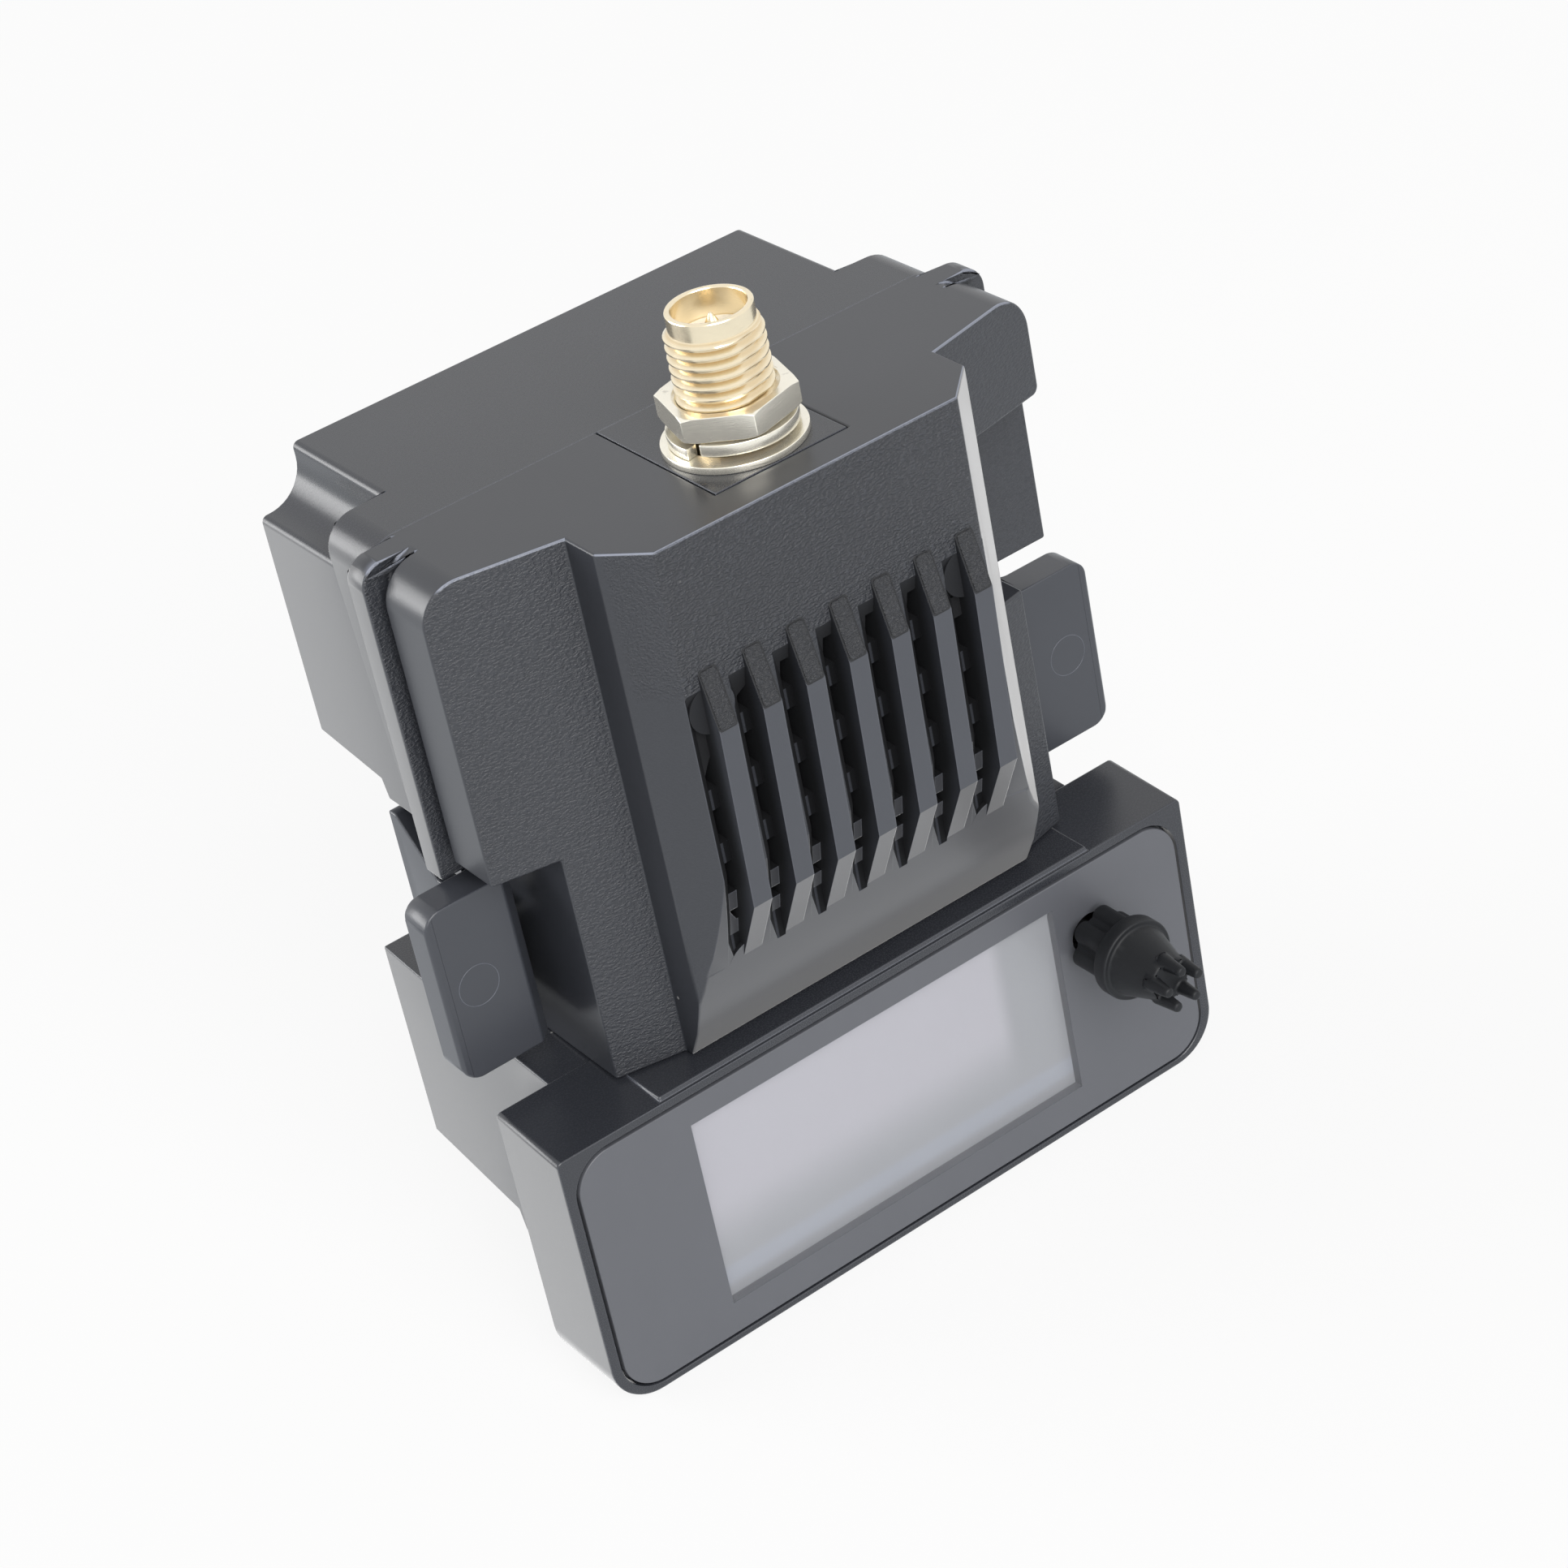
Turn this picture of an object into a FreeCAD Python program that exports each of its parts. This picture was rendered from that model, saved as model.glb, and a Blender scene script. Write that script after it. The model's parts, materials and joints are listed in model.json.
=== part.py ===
import FreeCAD, Part

import os
from math import cos, pi, radians, sin, sqrt, tan

from FreeCAD import Vector

# Plug-in radio module for a transmitter's module bay.
# Millimetres. X across, Y into the bay, Z up. The pieces are drawn from the middle of the flat
# top's front line and moved together at export, so that the finished module stands on Z 0.

# ---- driving dimensions: bay body and lower block (rear housing)
WALL = 1.6
PARTING_Y = 10.2                 # front cover meets rear housing
SEAT_Y = 15.3                    # rear face of the side ears, which rests on the radio
BACK_Y = 26.7
BAY_HALF_WIDTH = 21.8
PLATEAU_HALF_WIDTH = 18.3
SHOULDER_Z = -3.95
SHOULDER_ROOT_RADIUS = 2.9
BAY_EDGE_RADIUS = 0.5
EAR_HALF_WIDTH = 22.85
EAR_FOOT_HALF_WIDTH = 21.9
EAR_BOTTOM_Z = -25.5
EAR_RADIUS = 2.3
EAR_SKIRT_Y = 14.9               # rear face of the ear below the bay's lug
CORE_HALF_WIDTH = 17.4           # between the two side pockets
SKIRT_INNER_X = 20.3
POCKET_ROOF = ((BACK_Y, -20.4), (19.1, -21.3), (18.7, -22.75), (SEAT_Y, -22.75))
FLOOR_Z = -18.8                  # inside floor of the upper room
BLOCK_TOP_Z = -39.3
BLOCK_TOP_BACK_Z = -38.6
BLOCK_FRONT_Y = 4.9
BLOCK_BOTTOM = ((BACK_Y, -55.0), (15.4, -56.0), (15.0, -57.6), (BLOCK_FRONT_Y, -58.6))
BLOCK_HALF_WIDTH = 22.3
BLOCK_TAPER_Y = 9.0

# ---- front cover
COVER_WALL = 1.8
WING_HALF_WIDTH = 23.65
WING_RADIUS = 2.8
WING_BOTTOM_Z = -21.6
RIGHT_WING_BOTTOM_Z = -7.7
RIGHT_WING_RADIUS = 0.6
WING_INNER_Y = 0.35              # wing front plane at the raised centre's side
WING_SLANT = 0.223               # rearward per millimetre outward
GROOVE_Y = (7.0, 7.8)
GROOVE_HALF_WIDTH = 22.6
GROOVE_RADIUS = 2.1
LIP_Y = (7.8, 9.8)
LIP_HALF_WIDTH = 24.45
LIP_RADIUS = 1.6
LIP_BOTTOM_Z = -23.0
STRIP_HALF_WIDTH = 19.0
COVER_BOTTOM_Z = -39.1
PLATE_Y = 5.6                    # smooth recessed plate under the right wing
PLATE_INNER_X = 16.0
PLATE_BOTTOM_Z = -20.3
CENTRE_HALF_WIDTH = 14.1
BEVEL_Y = (-2.8, -5.7)
BEVEL_X = 11.7
CENTRE_TOP_Y = -5.8
CENTRE_SHOULDER = (-5.6, -24.0)  # where the front face starts to curve back
CENTRE_BELLY = (-3.87, -30.8)
CENTRE_TOE = (-1.6, -36.8)
CENTRE_FOOT_Y = -0.28

# ---- grille of fins and slots
FIN_COUNT = 7
FIN_FIRST_X = -10.54
FIN_PITCH = 3.36
FIN_WIDTH = 1.45
FIN_SIDE = ((-5.7, -9.0), (-6.9, -13.0), (-6.35, -26.4), (-3.5, -31.7),
            (-3.0, -31.4), (-4.6, -26.0), (-4.6, -9.6))
SLOT_WIDTH = 0.65
SLOT_CHEEK = 0.6                 # width of the sloping strip beside each slot
SLOT_DEPTH = 0.6
SLOT_TOP_Z = -10.3
SLOT_TIP_Z = -31.6
SLOT_RUNOUT = 2.2
BAR_FIRST_Z = -13.6
BAR_PITCH = 4.05
BAR_HEIGHT = 1.5
BAR_COUNT = 4
APERTURE_BOTTOM_Z = -28.2
FAN_Z = -21.9
APERTURE_RADIUS = 12.4

# ---- antenna plate and jack
PLATE_HALF_WIDTH = 5.05
PLATE_FRONT_Y = -2.95
PLATE_THICKNESS = 1.0
PLATE_GAP = 0.07
JACK_Y = 1.9
THREAD_RADIUS = 3.175
THREAD_CORE_RADIUS = 2.8         # under the nut, where the two threads mesh
THREAD_TOP_Z = 7.9
JACK_TOP_Z = 9.25
JACK_RIM_RADIUS = 2.8
JACK_BORE_RADIUS = 2.4
JACK_HOLE_RADIUS = THREAD_RADIUS + 0.2
WASHER_RADIUS = 4.75
WASHER_THICKNESS = 0.5
LOCK_RADIUS = 4.25
LOCK_THICKNESS = 0.8
LOCK_RISE = 0.5                  # between the two ends of the split washer
LOCK_TURN = 12.0                 # degrees
NUT_ACROSS_FLATS = 8.0
NUT_Z = (1.9, 3.6)
NUT_TURN = 16.5                  # degrees

# ---- screen block
SCREEN_HALF_WIDTH = 26.5
SCREEN_FRONT_Y = -2.4
SCREEN_TOP_Z = -39.6
SCREEN_TOP_BACK_Z = -39.2
SCREEN_BOTTOM_Z = -61.0
SCREEN_RADIUS = 3.5
SCREEN_WALL = 1.3
LEDGE_HALF_WIDTH = 18.2
LEDGE_FRONT_Y = -1.5
PANEL_HALF_WIDTH = 25.7
PANEL_Z = (-60.5, -40.3)
PANEL_RADIUS = 3.0
PANEL_THICKNESS = 0.9
PANEL_GAP = 0.2
WINDOW_X = (-16.5, 14.4)
WINDOW_Z = (-57.8, -42.45)

# ---- joystick
STICK_X = 17.3
STICK_Z = -46.0
STICK_PIVOT_Y = 0.2
SWITCH_HALF_WIDTH = 3.4
STICK_BASE_Y = -3.2
STICK_TIP_Y = -12.4

# ---- latches (drawn for the left side, mirrored for the right)
TAB_OUTER_X = 27.5
TAB_RADIUS = 1.4
TAB_INNER_X = 21.4
TAB_Y = (5.7, 8.4)
TAB_Z = (-36.7, -23.4)
ARM_X = (20.4, 21.9)
ARM_BACK_Y = 19.2
ARM_TOP = ((8.4, -27.4), (14.5, -27.4), (18.3, -23.8), (ARM_BACK_Y + 1, -23.8))
LATCH_PIN_Y = 13.2
LATCH_PIN_Z = -31.5
LATCH_PIN_RADIUS = 0.8
RUNNING_CLEARANCE = 0.05

# ---- boards, fan and cooling
BOARD_Y = (16.2, 17.8)
BOARD_HALF_WIDTH = 14.0
BOARD_Z = (-53.0, -3.5)
SHIELD_Y = 14.0
SINK_Y = (10.0, 12.6)
SINK_HALF_WIDTH = 11.0
SINK_Z = (-33.0, -17.0)
FAN_HALF_WIDTH = 12.5
FAN_Y = (2.4, 9.4)
FAN_BORE_RADIUS = 11.9
FAN_HOLE_PITCH = 10.0
FAN_BLADES = 7
SCREEN_BOARD_Y = (1.4, 2.6)
SOCKET_Z = -27.0
PIN_PITCH = 2.54
SOCKET_PINS = 5
COVER_SCREWS = ((-14.5, -4.6), (14.5, -4.6), (-12.8, -36.5), (12.8, -36.5))
SCREEN_SCREWS = ((-17.2, -51.5), (17.2, -51.5))
BOARD_SCREWS = ((-9.5, -8.0), (9.5, -8.0), (-11.0, -50.0), (11.0, -50.0))

# ---- the finished module stands on Z 0, centred front to back
ORIGIN = Vector(0, (STICK_TIP_Y + BACK_Y) / 2, SCREEN_BOTTOM_Z)


# ------------------------------------------------------------------ outlines and simple solids

def on_plan(z):
    return lambda u, v: Vector(u, v, z)


def on_front(y):
    return lambda u, v: Vector(u, y, v)


def on_side(x):
    return lambda u, v: Vector(x, u, v)


def line(start, end):
    return Part.LineSegment(start, end).toShape()


def rounded_corner(before, corner, after, radius):
    """Start, middle and end of the arc that rounds a corner."""
    back = (before - corner).normalize()
    ahead = (after - corner).normalize()
    half = back.getAngle(ahead) / 2
    reach = radius / tan(half)
    centre = corner + (back + ahead).normalize() * (radius / sin(half))
    middle = centre + (corner - centre).normalize() * radius
    return corner + back * reach, middle, corner + ahead * reach


def outline(corners, place):
    """Closed wire through corners (u, v) or (u, v, radius)."""
    points = [Vector(corner[0], corner[1], 0) for corner in corners]
    spans = []
    for i, corner in enumerate(corners):
        if len(corner) == 2:
            spans.append((points[i], None, points[i]))
        else:
            after = points[(i + 1) % len(points)]
            spans.append(rounded_corner(points[i - 1], points[i], after, corner[2]))
    edges = []
    for i, (start, middle, end) in enumerate(spans):
        if middle is not None:
            arc = Part.Arc(place(start.x, start.y), place(middle.x, middle.y), place(end.x, end.y))
            edges.append(arc.toShape())
        following = spans[(i + 1) % len(spans)][0]
        if (following - end).Length > 1e-6:
            edges.append(line(place(end.x, end.y), place(following.x, following.y)))
    return Part.Wire(edges)


def prism(wire, reach):
    return Part.Face(wire).extrude(reach)


def plan_prism(corners, z_from, z_to):
    """Corners are (x, y)."""
    return prism(outline(corners, on_plan(z_from)), Vector(0, 0, z_to - z_from))


def front_prism(corners, y_from, y_to):
    """Corners are (x, z)."""
    return prism(outline(corners, on_front(y_from)), Vector(0, y_to - y_from, 0))


def side_prism(corners, x_from, x_to):
    """Corners are (y, z)."""
    return prism(outline(corners, on_side(x_from)), Vector(x_to - x_from, 0, 0))


def box(x_range, y_range, z_range):
    lows = [min(pair) for pair in (x_range, y_range, z_range)]
    sizes = [abs(pair[1] - pair[0]) for pair in (x_range, y_range, z_range)]
    return Part.makeBox(*sizes, Vector(*lows))


def rod_x(x_range, y, z, radius):
    return Part.makeCylinder(radius, abs(x_range[1] - x_range[0]), Vector(min(x_range), y, z), Vector(1, 0, 0))


def rod_y(x, y_range, z, radius):
    return Part.makeCylinder(radius, abs(y_range[1] - y_range[0]), Vector(x, min(y_range), z), Vector(0, 1, 0))


def rod_z(x, y, z_range, radius):
    return Part.makeCylinder(radius, abs(z_range[1] - z_range[0]), Vector(x, y, min(z_range)), Vector(0, 0, 1))


def cone_y(x, z, start, end):
    """Cone along Y between two (y, radius) ends."""
    return Part.makeCone(start[1], end[1], end[0] - start[0], Vector(x, start[0], z), Vector(0, 1, 0))


def turned(profile, axis_point):
    """Solid of revolution about a Z axis through axis_point, from (radius, z) corners."""
    place = lambda r, z: axis_point + Vector(r, 0, z)
    return Part.Face(outline(profile, place)).revolve(axis_point, Vector(0, 0, 1), 360)


def ruled_solid(near, far):
    """Solid between two outlines of as many points, with flat facets between them."""
    faces = [Part.Face(Part.makePolygon(near + near[:1])), Part.Face(Part.makePolygon(far + far[:1]))]
    for i, start in enumerate(near):
        end = near[(i + 1) % len(near)]
        far_start = far[i]
        far_end = far[(i + 1) % len(far)]
        for corners in ((start, end, far_end), (start, far_end, far_start)):
            if (corners[1] - corners[0]).cross(corners[2] - corners[0]).Length > 1e-9:
                faces.append(Part.Face(Part.makePolygon(list(corners) + [corners[0]])))
    solid = Part.makeSolid(Part.makeShell(faces)).removeSplitter()
    return solid if solid.Volume > 0 else solid.reversed()


def fused(pieces):
    pieces = list(pieces)
    return pieces[0].multiFuse(pieces[1:]).removeSplitter() if len(pieces) > 1 else pieces[0]


def without(body, cuts):
    return body.cut(list(cuts)).removeSplitter()


def mirrored(shape):
    return shape.mirror(Vector(0, 0, 0), Vector(1, 0, 0))


def both_sides(shape):
    return [shape, mirrored(shape)]


# ------------------------------------------------------------------ rear housing

def bay_section(inset):
    """Bay body across X and Z: plateau, shoulder ledges with a rounded root, side walls."""
    plateau = PLATEAU_HALF_WIDTH - inset
    side = BAY_HALF_WIDTH - inset
    shoulder = SHOULDER_Z - inset
    right = [(plateau, -inset, BAY_EDGE_RADIUS), (plateau, shoulder, SHOULDER_ROOT_RADIUS),
             (side, shoulder, BAY_EDGE_RADIUS), (side, BLOCK_TOP_Z - 1)]
    left = [(-corner[0], *corner[1:]) for corner in reversed(right)]
    return right + left


def ear_section(inset):
    right = [(EAR_HALF_WIDTH - inset, -inset, EAR_RADIUS - inset),
             (EAR_FOOT_HALF_WIDTH - inset, EAR_BOTTOM_Z),
             (EAR_FOOT_HALF_WIDTH - inset, BLOCK_TOP_Z - 1)]
    left = [(-corner[0], *corner[1:]) for corner in reversed(right)]
    return right + left


def block_plan(inset, front_y):
    wide = BLOCK_HALF_WIDTH - inset
    narrow = BAY_HALF_WIDTH - inset
    back = BACK_Y - inset
    return [(-wide, front_y), (wide, front_y), (wide, BLOCK_TAPER_Y),
            (narrow, back), (-narrow, back), (-wide, BLOCK_TAPER_Y)]


def block_side(inset):
    low = [(y - (inset if y == BACK_Y else 0), z + inset) for y, z in BLOCK_BOTTOM]
    top = [(BLOCK_FRONT_Y, BLOCK_TOP_Z - inset), (BACK_Y - inset, BLOCK_TOP_BACK_Z - inset)]
    return top + low


def side_pocket():
    """Room beside the core for a latch arm and the bay's lug (right side)."""
    roof = [(y + (1 if y == BACK_Y else 0), z) for y, z in POCKET_ROOF]
    ear_roof = [(EAR_SKIRT_Y, POCKET_ROOF[3][1]), (EAR_SKIRT_Y, EAR_BOTTOM_Z), (PARTING_Y - 1, EAR_BOTTOM_Z)]
    slope = (BLOCK_TOP_BACK_Z - BLOCK_TOP_Z) / (BACK_Y - BLOCK_FRONT_Y)
    floor = [(PARTING_Y - 1, BLOCK_TOP_Z + slope * (PARTING_Y - 1 - BLOCK_FRONT_Y)),
             (BACK_Y + 1, BLOCK_TOP_BACK_Z + slope)]
    pocket = side_prism(roof + ear_roof + floor, CORE_HALF_WIDTH, EAR_HALF_WIDTH + 1)
    behind_skirt = box((CORE_HALF_WIDTH, SKIRT_INNER_X), (PARTING_Y - 1, POCKET_ROOF[1][0]),
                       (EAR_BOTTOM_Z - 1, POCKET_ROOF[1][1]))
    return pocket.fuse(behind_skirt)


def screw_tube(x, z, front_y):
    """Tube that takes a case screw down to its seat, and the hole through it."""
    tube = rod_y(x, (front_y, BACK_Y), z, 3.1)
    hole = fused([rod_y(x, (front_y - 1, BACK_Y), z, 1.15), rod_y(x, (front_y + 2.0, BACK_Y + 1), z, 2.2)])
    return tube, hole


def rear_housing():
    upper = fused([front_prism(ear_section(0), PARTING_Y, SEAT_Y), front_prism(bay_section(0), SEAT_Y, BACK_Y)])
    core = box((-CORE_HALF_WIDTH, CORE_HALF_WIDTH), (PARTING_Y, BACK_Y), (FLOOR_Z, BLOCK_TOP_Z - 1))
    block = plan_prism(block_plan(0, BLOCK_FRONT_Y), BLOCK_BOTTOM[-1][1] - 1, BLOCK_TOP_BACK_Z + 1)
    block = block.common(side_prism(block_side(0), -BLOCK_HALF_WIDTH - 1, BLOCK_HALF_WIDTH + 1))
    outer = without(upper, both_sides(side_pocket()))
    below = box((-30, 30), (0, 30), (BLOCK_TOP_Z - 0.5, -70))
    outer = fused([outer.cut(below), core, block])

    rooms = [front_prism(ear_section(WALL), PARTING_Y - 1, SEAT_Y - WALL),
             front_prism(bay_section(WALL), PARTING_Y, BACK_Y - WALL)]
    attic = fused(rooms).common(box((-30, 30), (0, 30), (FLOOR_Z, 0)))
    shaft = box((-CORE_HALF_WIDTH + WALL, CORE_HALF_WIDTH - WALL), (PARTING_Y - 1, BACK_Y - WALL),
                (FLOOR_Z + 1, BLOCK_TOP_Z - WALL - 1))
    cellar = plan_prism(block_plan(WALL, BLOCK_FRONT_Y - 1), -70, -30)
    cellar_side = [(y - (1 if y == BLOCK_FRONT_Y else 0), z) for y, z in block_side(WALL)]
    cellar = cellar.common(side_prism(cellar_side, -30, 30))
    shell = without(outer, [attic, shaft, cellar])

    tubes = [screw_tube(x, z, PARTING_Y) for x, z in COVER_SCREWS]
    tubes += [screw_tube(x, z, BLOCK_FRONT_Y) for x, z in SCREEN_SCREWS]
    bosses = [rod_y(x, (BOARD_Y[1], BACK_Y - 0.5), z, 2.0) for x, z in BOARD_SCREWS]
    pin_bosses = both_sides(rod_x((CORE_HALF_WIDTH - 3.2, CORE_HALF_WIDTH - 0.5), LATCH_PIN_Y, LATCH_PIN_Z, 2.2))
    body = fused([shell] + [tube.common(outer) for tube, hole in tubes] + bosses + pin_bosses)

    cuts = [hole for tube, hole in tubes]
    cuts += [rod_y(x, (BOARD_Y[1] - 1, BOARD_Y[1] + 4.5), z, 0.8) for x, z in BOARD_SCREWS]
    cuts += both_sides(rod_x((CORE_HALF_WIDTH - 2.4, CORE_HALF_WIDTH + 1), LATCH_PIN_Y, LATCH_PIN_Z,
                             LATCH_PIN_RADIUS))
    half_row = SOCKET_PINS * PIN_PITCH / 2 + 0.3
    cuts.append(box((-1.6, 1.6), (BACK_Y - WALL - 1, BACK_Y + 1), (SOCKET_Z - half_row, SOCKET_Z + half_row)))
    return without(body, cuts)


# ------------------------------------------------------------------ front cover

def wing_plan(inset, back_y):
    """Slanted front planes of the wings, seen from above."""
    inner_y = WING_INNER_Y + inset
    reach = 30.0
    outer_y = inner_y + WING_SLANT * (reach - CENTRE_HALF_WIDTH)
    return [(-reach, back_y), (-reach, outer_y), (-CENTRE_HALF_WIDTH, inner_y),
            (CENTRE_HALF_WIDTH, inner_y), (reach, outer_y), (reach, back_y)]


def wing_section(half_width, radius, bottom_z):
    """Wings and strips across X and Z: the right wing is the short one."""
    return [(-half_width, 0, radius), (half_width, 0, radius),
            (half_width, RIGHT_WING_BOTTOM_Z, RIGHT_WING_RADIUS), (STRIP_HALF_WIDTH, RIGHT_WING_BOTTOM_Z), (STRIP_HALF_WIDTH, COVER_BOTTOM_Z),
            (-STRIP_HALF_WIDTH, COVER_BOTTOM_Z), (-STRIP_HALF_WIDTH, bottom_z), (-half_width, bottom_z)]


def centre_y(z):
    """Front face of the raised centre at height z, on its straight and curved stretches."""
    shoulder = Vector(*CENTRE_SHOULDER, 0)
    if z > shoulder.y:
        return CENTRE_TOP_Y + (shoulder.x - CENTRE_TOP_Y) * z / shoulder.y
    curve = Part.Arc(shoulder, Vector(*CENTRE_BELLY, 0), Vector(*CENTRE_TOE, 0)).toShape().Curve
    reach = sqrt(curve.Radius ** 2 - (z - curve.Center.y) ** 2)
    return curve.Center.x - reach


def centre_side(x, inset, top_z, bottom_z, back_y):
    """Side outline of the raised centre, moved back by inset."""
    crest = Vector(x, CENTRE_TOP_Y + inset, top_z)
    shoulder = Vector(x, CENTRE_SHOULDER[0] + inset, CENTRE_SHOULDER[1])
    belly = Vector(x, CENTRE_BELLY[0] + inset, CENTRE_BELLY[1])
    toe = Vector(x, CENTRE_TOE[0] + inset, CENTRE_TOE[1])
    fall = (CENTRE_FOOT_Y - CENTRE_TOE[0]) / (COVER_BOTTOM_Z - CENTRE_TOE[1])
    foot = Vector(x, toe.y + fall * (bottom_z - toe.z), bottom_z)
    heel = Vector(x, back_y, bottom_z)
    nape = Vector(x, back_y, top_z)
    return Part.Wire([line(crest, shoulder), Part.Arc(shoulder, belly, toe).toShape(), line(toe, foot),
                      line(foot, heel), line(heel, nape), line(nape, crest)])


def centre_plan(inset, back_y):
    """Raised centre seen from above, its bevels carried on past the front face."""
    side = CENTRE_HALF_WIDTH - inset
    steepness = (CENTRE_HALF_WIDTH - BEVEL_X) / (BEVEL_Y[0] - BEVEL_Y[1])
    front_y = CENTRE_TOP_Y - 1 + inset
    bevel_y = BEVEL_Y[0] + inset * 0.6
    front_x = side - steepness * (bevel_y - front_y)
    return [(-side, back_y), (-side, bevel_y), (-front_x, front_y),
            (front_x, front_y), (side, bevel_y), (side, back_y)]


def raised_centre(inset, top_z, bottom_z, back_y):
    plan = plan_prism(centre_plan(inset, back_y), bottom_z, top_z)
    side = prism(centre_side(-30, inset, top_z, bottom_z, back_y), Vector(60, 0, 0))
    return plan.common(side)


def slot_side(x, depths, stations):
    """Corners in the side plane between the slot's floor and open air."""
    floor = [Vector(x, centre_y(z) + depth, z) for z, depth in zip(stations, depths)]
    air = CENTRE_TOP_Y - 3
    return [Vector(x, air, stations[0])] + floor + [Vector(x, air, stations[-1])]


def grille_slot(fin_x):
    """Slot left of a fin: flat floor and a sloping cheek, run out to a point at both ends."""
    middle_z = (CENTRE_SHOULDER[1] + CENTRE_BELLY[1]) / 2
    stations = [SLOT_TOP_Z, SLOT_TOP_Z - SLOT_RUNOUT, CENTRE_SHOULDER[1], middle_z,
                SLOT_TIP_Z + SLOT_RUNOUT, SLOT_TIP_Z]
    flush = [0.0] * len(stations)
    deep = [0.0] + [SLOT_DEPTH] * (len(stations) - 2) + [0.0]
    inner_x = fin_x - SLOT_WIDTH
    cheek = ruled_solid(slot_side(inner_x - SLOT_CHEEK, flush, stations), slot_side(inner_x, deep, stations))
    floor = ruled_solid(slot_side(inner_x, deep, stations), slot_side(fin_x, deep, stations))
    return [cheek, floor]


def grille_openings(fin_x, aperture):
    """Openings through the slot's floor, between its bars and inside the fan's aperture."""
    tops = [SLOT_TOP_Z - SLOT_RUNOUT / 2]
    bottoms = []
    for i in range(BAR_COUNT):
        bar_top = BAR_FIRST_Z - i * BAR_PITCH
        bottoms.append(bar_top)
        tops.append(bar_top - BAR_HEIGHT)
    bottoms.append(APERTURE_BOTTOM_Z)
    spans = [box((fin_x - SLOT_WIDTH, fin_x), (CENTRE_TOP_Y - 2, CENTRE_TOP_Y + 4), span)
             for span in zip(bottoms, tops)]
    return [span.common(aperture) for span in spans]


def front_cover():
    slant = plan_prism(wing_plan(0, PARTING_Y), COVER_BOTTOM_Z, 0)
    bands = [front_prism(wing_section(WING_HALF_WIDTH, WING_RADIUS, WING_BOTTOM_Z), -1, GROOVE_Y[0]),
             front_prism(wing_section(GROOVE_HALF_WIDTH, GROOVE_RADIUS, LIP_BOTTOM_Z), *GROOVE_Y),
             front_prism(wing_section(LIP_HALF_WIDTH, LIP_RADIUS, LIP_BOTTOM_Z), *LIP_Y),
             front_prism(wing_section(GROOVE_HALF_WIDTH, GROOVE_RADIUS, WING_BOTTOM_Z), LIP_Y[1], PARTING_Y)]
    wings = fused(bands).common(slant)
    plate = box((PLATE_INNER_X, LIP_HALF_WIDTH), (PLATE_Y, LIP_Y[1]), (RIGHT_WING_BOTTOM_Z, PLATE_BOTTOM_Z))
    plate_window = box((PLATE_INNER_X, 30), (-5, PLATE_Y), (RIGHT_WING_BOTTOM_Z, PLATE_BOTTOM_Z))
    outer = fused([without(fused([wings, plate]), [plate_window]),
                   raised_centre(0, 0, COVER_BOTTOM_Z, PARTING_Y)])

    side = WING_HALF_WIDTH - COVER_WALL
    roof_z = -COVER_WALL
    floor_z = COVER_BOTTOM_Z + WALL
    room = [(-side, roof_z, WING_RADIUS - COVER_WALL), (side, roof_z, WING_RADIUS - COVER_WALL),
            (side, RIGHT_WING_BOTTOM_Z + WALL), (PLATE_INNER_X - WALL, RIGHT_WING_BOTTOM_Z + WALL),
            (PLATE_INNER_X - WALL, PLATE_BOTTOM_Z - WALL), (STRIP_HALF_WIDTH - WALL, PLATE_BOTTOM_Z - WALL),
            (STRIP_HALF_WIDTH - WALL, floor_z), (-STRIP_HALF_WIDTH + WALL, floor_z),
            (-STRIP_HALF_WIDTH + WALL, WING_BOTTOM_Z + WALL), (-side, WING_BOTTOM_Z + WALL)]
    hollow = front_prism(room, -10, PARTING_Y + 1).common(
        plan_prism(wing_plan(COVER_WALL, PARTING_Y + 1), -60, 5))
    behind_plate = box((10, side), (PLATE_Y + WALL, PARTING_Y + 1), (RIGHT_WING_BOTTOM_Z, PLATE_BOTTOM_Z + WALL))
    nose = raised_centre(COVER_WALL, roof_z, floor_z, PARTING_Y + 1)
    shell = without(outer, [hollow, behind_plate, nose])

    fins = []
    cuts = []
    aperture = rod_y(0, (-12, 12), FAN_Z, APERTURE_RADIUS)
    for i in range(FIN_COUNT):
        fin_x = FIN_FIRST_X + i * FIN_PITCH
        fins.append(side_prism(FIN_SIDE, fin_x, fin_x + FIN_WIDTH))
        cuts += grille_slot(fin_x) + grille_openings(fin_x, aperture)
    shell = fused([without(shell, cuts)] + fins)

    bosses = [rod_y(x, (-10, PARTING_Y), z, 2.3) for x, z in COVER_SCREWS]
    bosses += [rod_y(x, (-10, FAN_Y[0]), z, 1.7) for x, z in fan_holes()]
    body = fused([shell] + [boss.common(outer) for boss in bosses])
    cuts = [rod_y(x, (PARTING_Y - 6, PARTING_Y + 1), z, 0.95) for x, z in COVER_SCREWS]
    cuts += [rod_y(x, (FAN_Y[0] - 2.6, FAN_Y[0] + 1), z, 0.7) for x, z in fan_holes()]
    cuts.append(box((-PLATE_HALF_WIDTH - PLATE_GAP, PLATE_HALF_WIDTH + PLATE_GAP),
                    (PLATE_FRONT_Y - PLATE_GAP, PARTING_Y + 1), (-PLATE_THICKNESS, 1)))
    cuts.append(rod_z(0, JACK_Y, (-5, 5), JACK_HOLE_RADIUS))
    return without(body, cuts)


# ------------------------------------------------------------------ antenna plate and jack

def jack_point(z):
    return Vector(0, JACK_Y, z)


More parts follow.
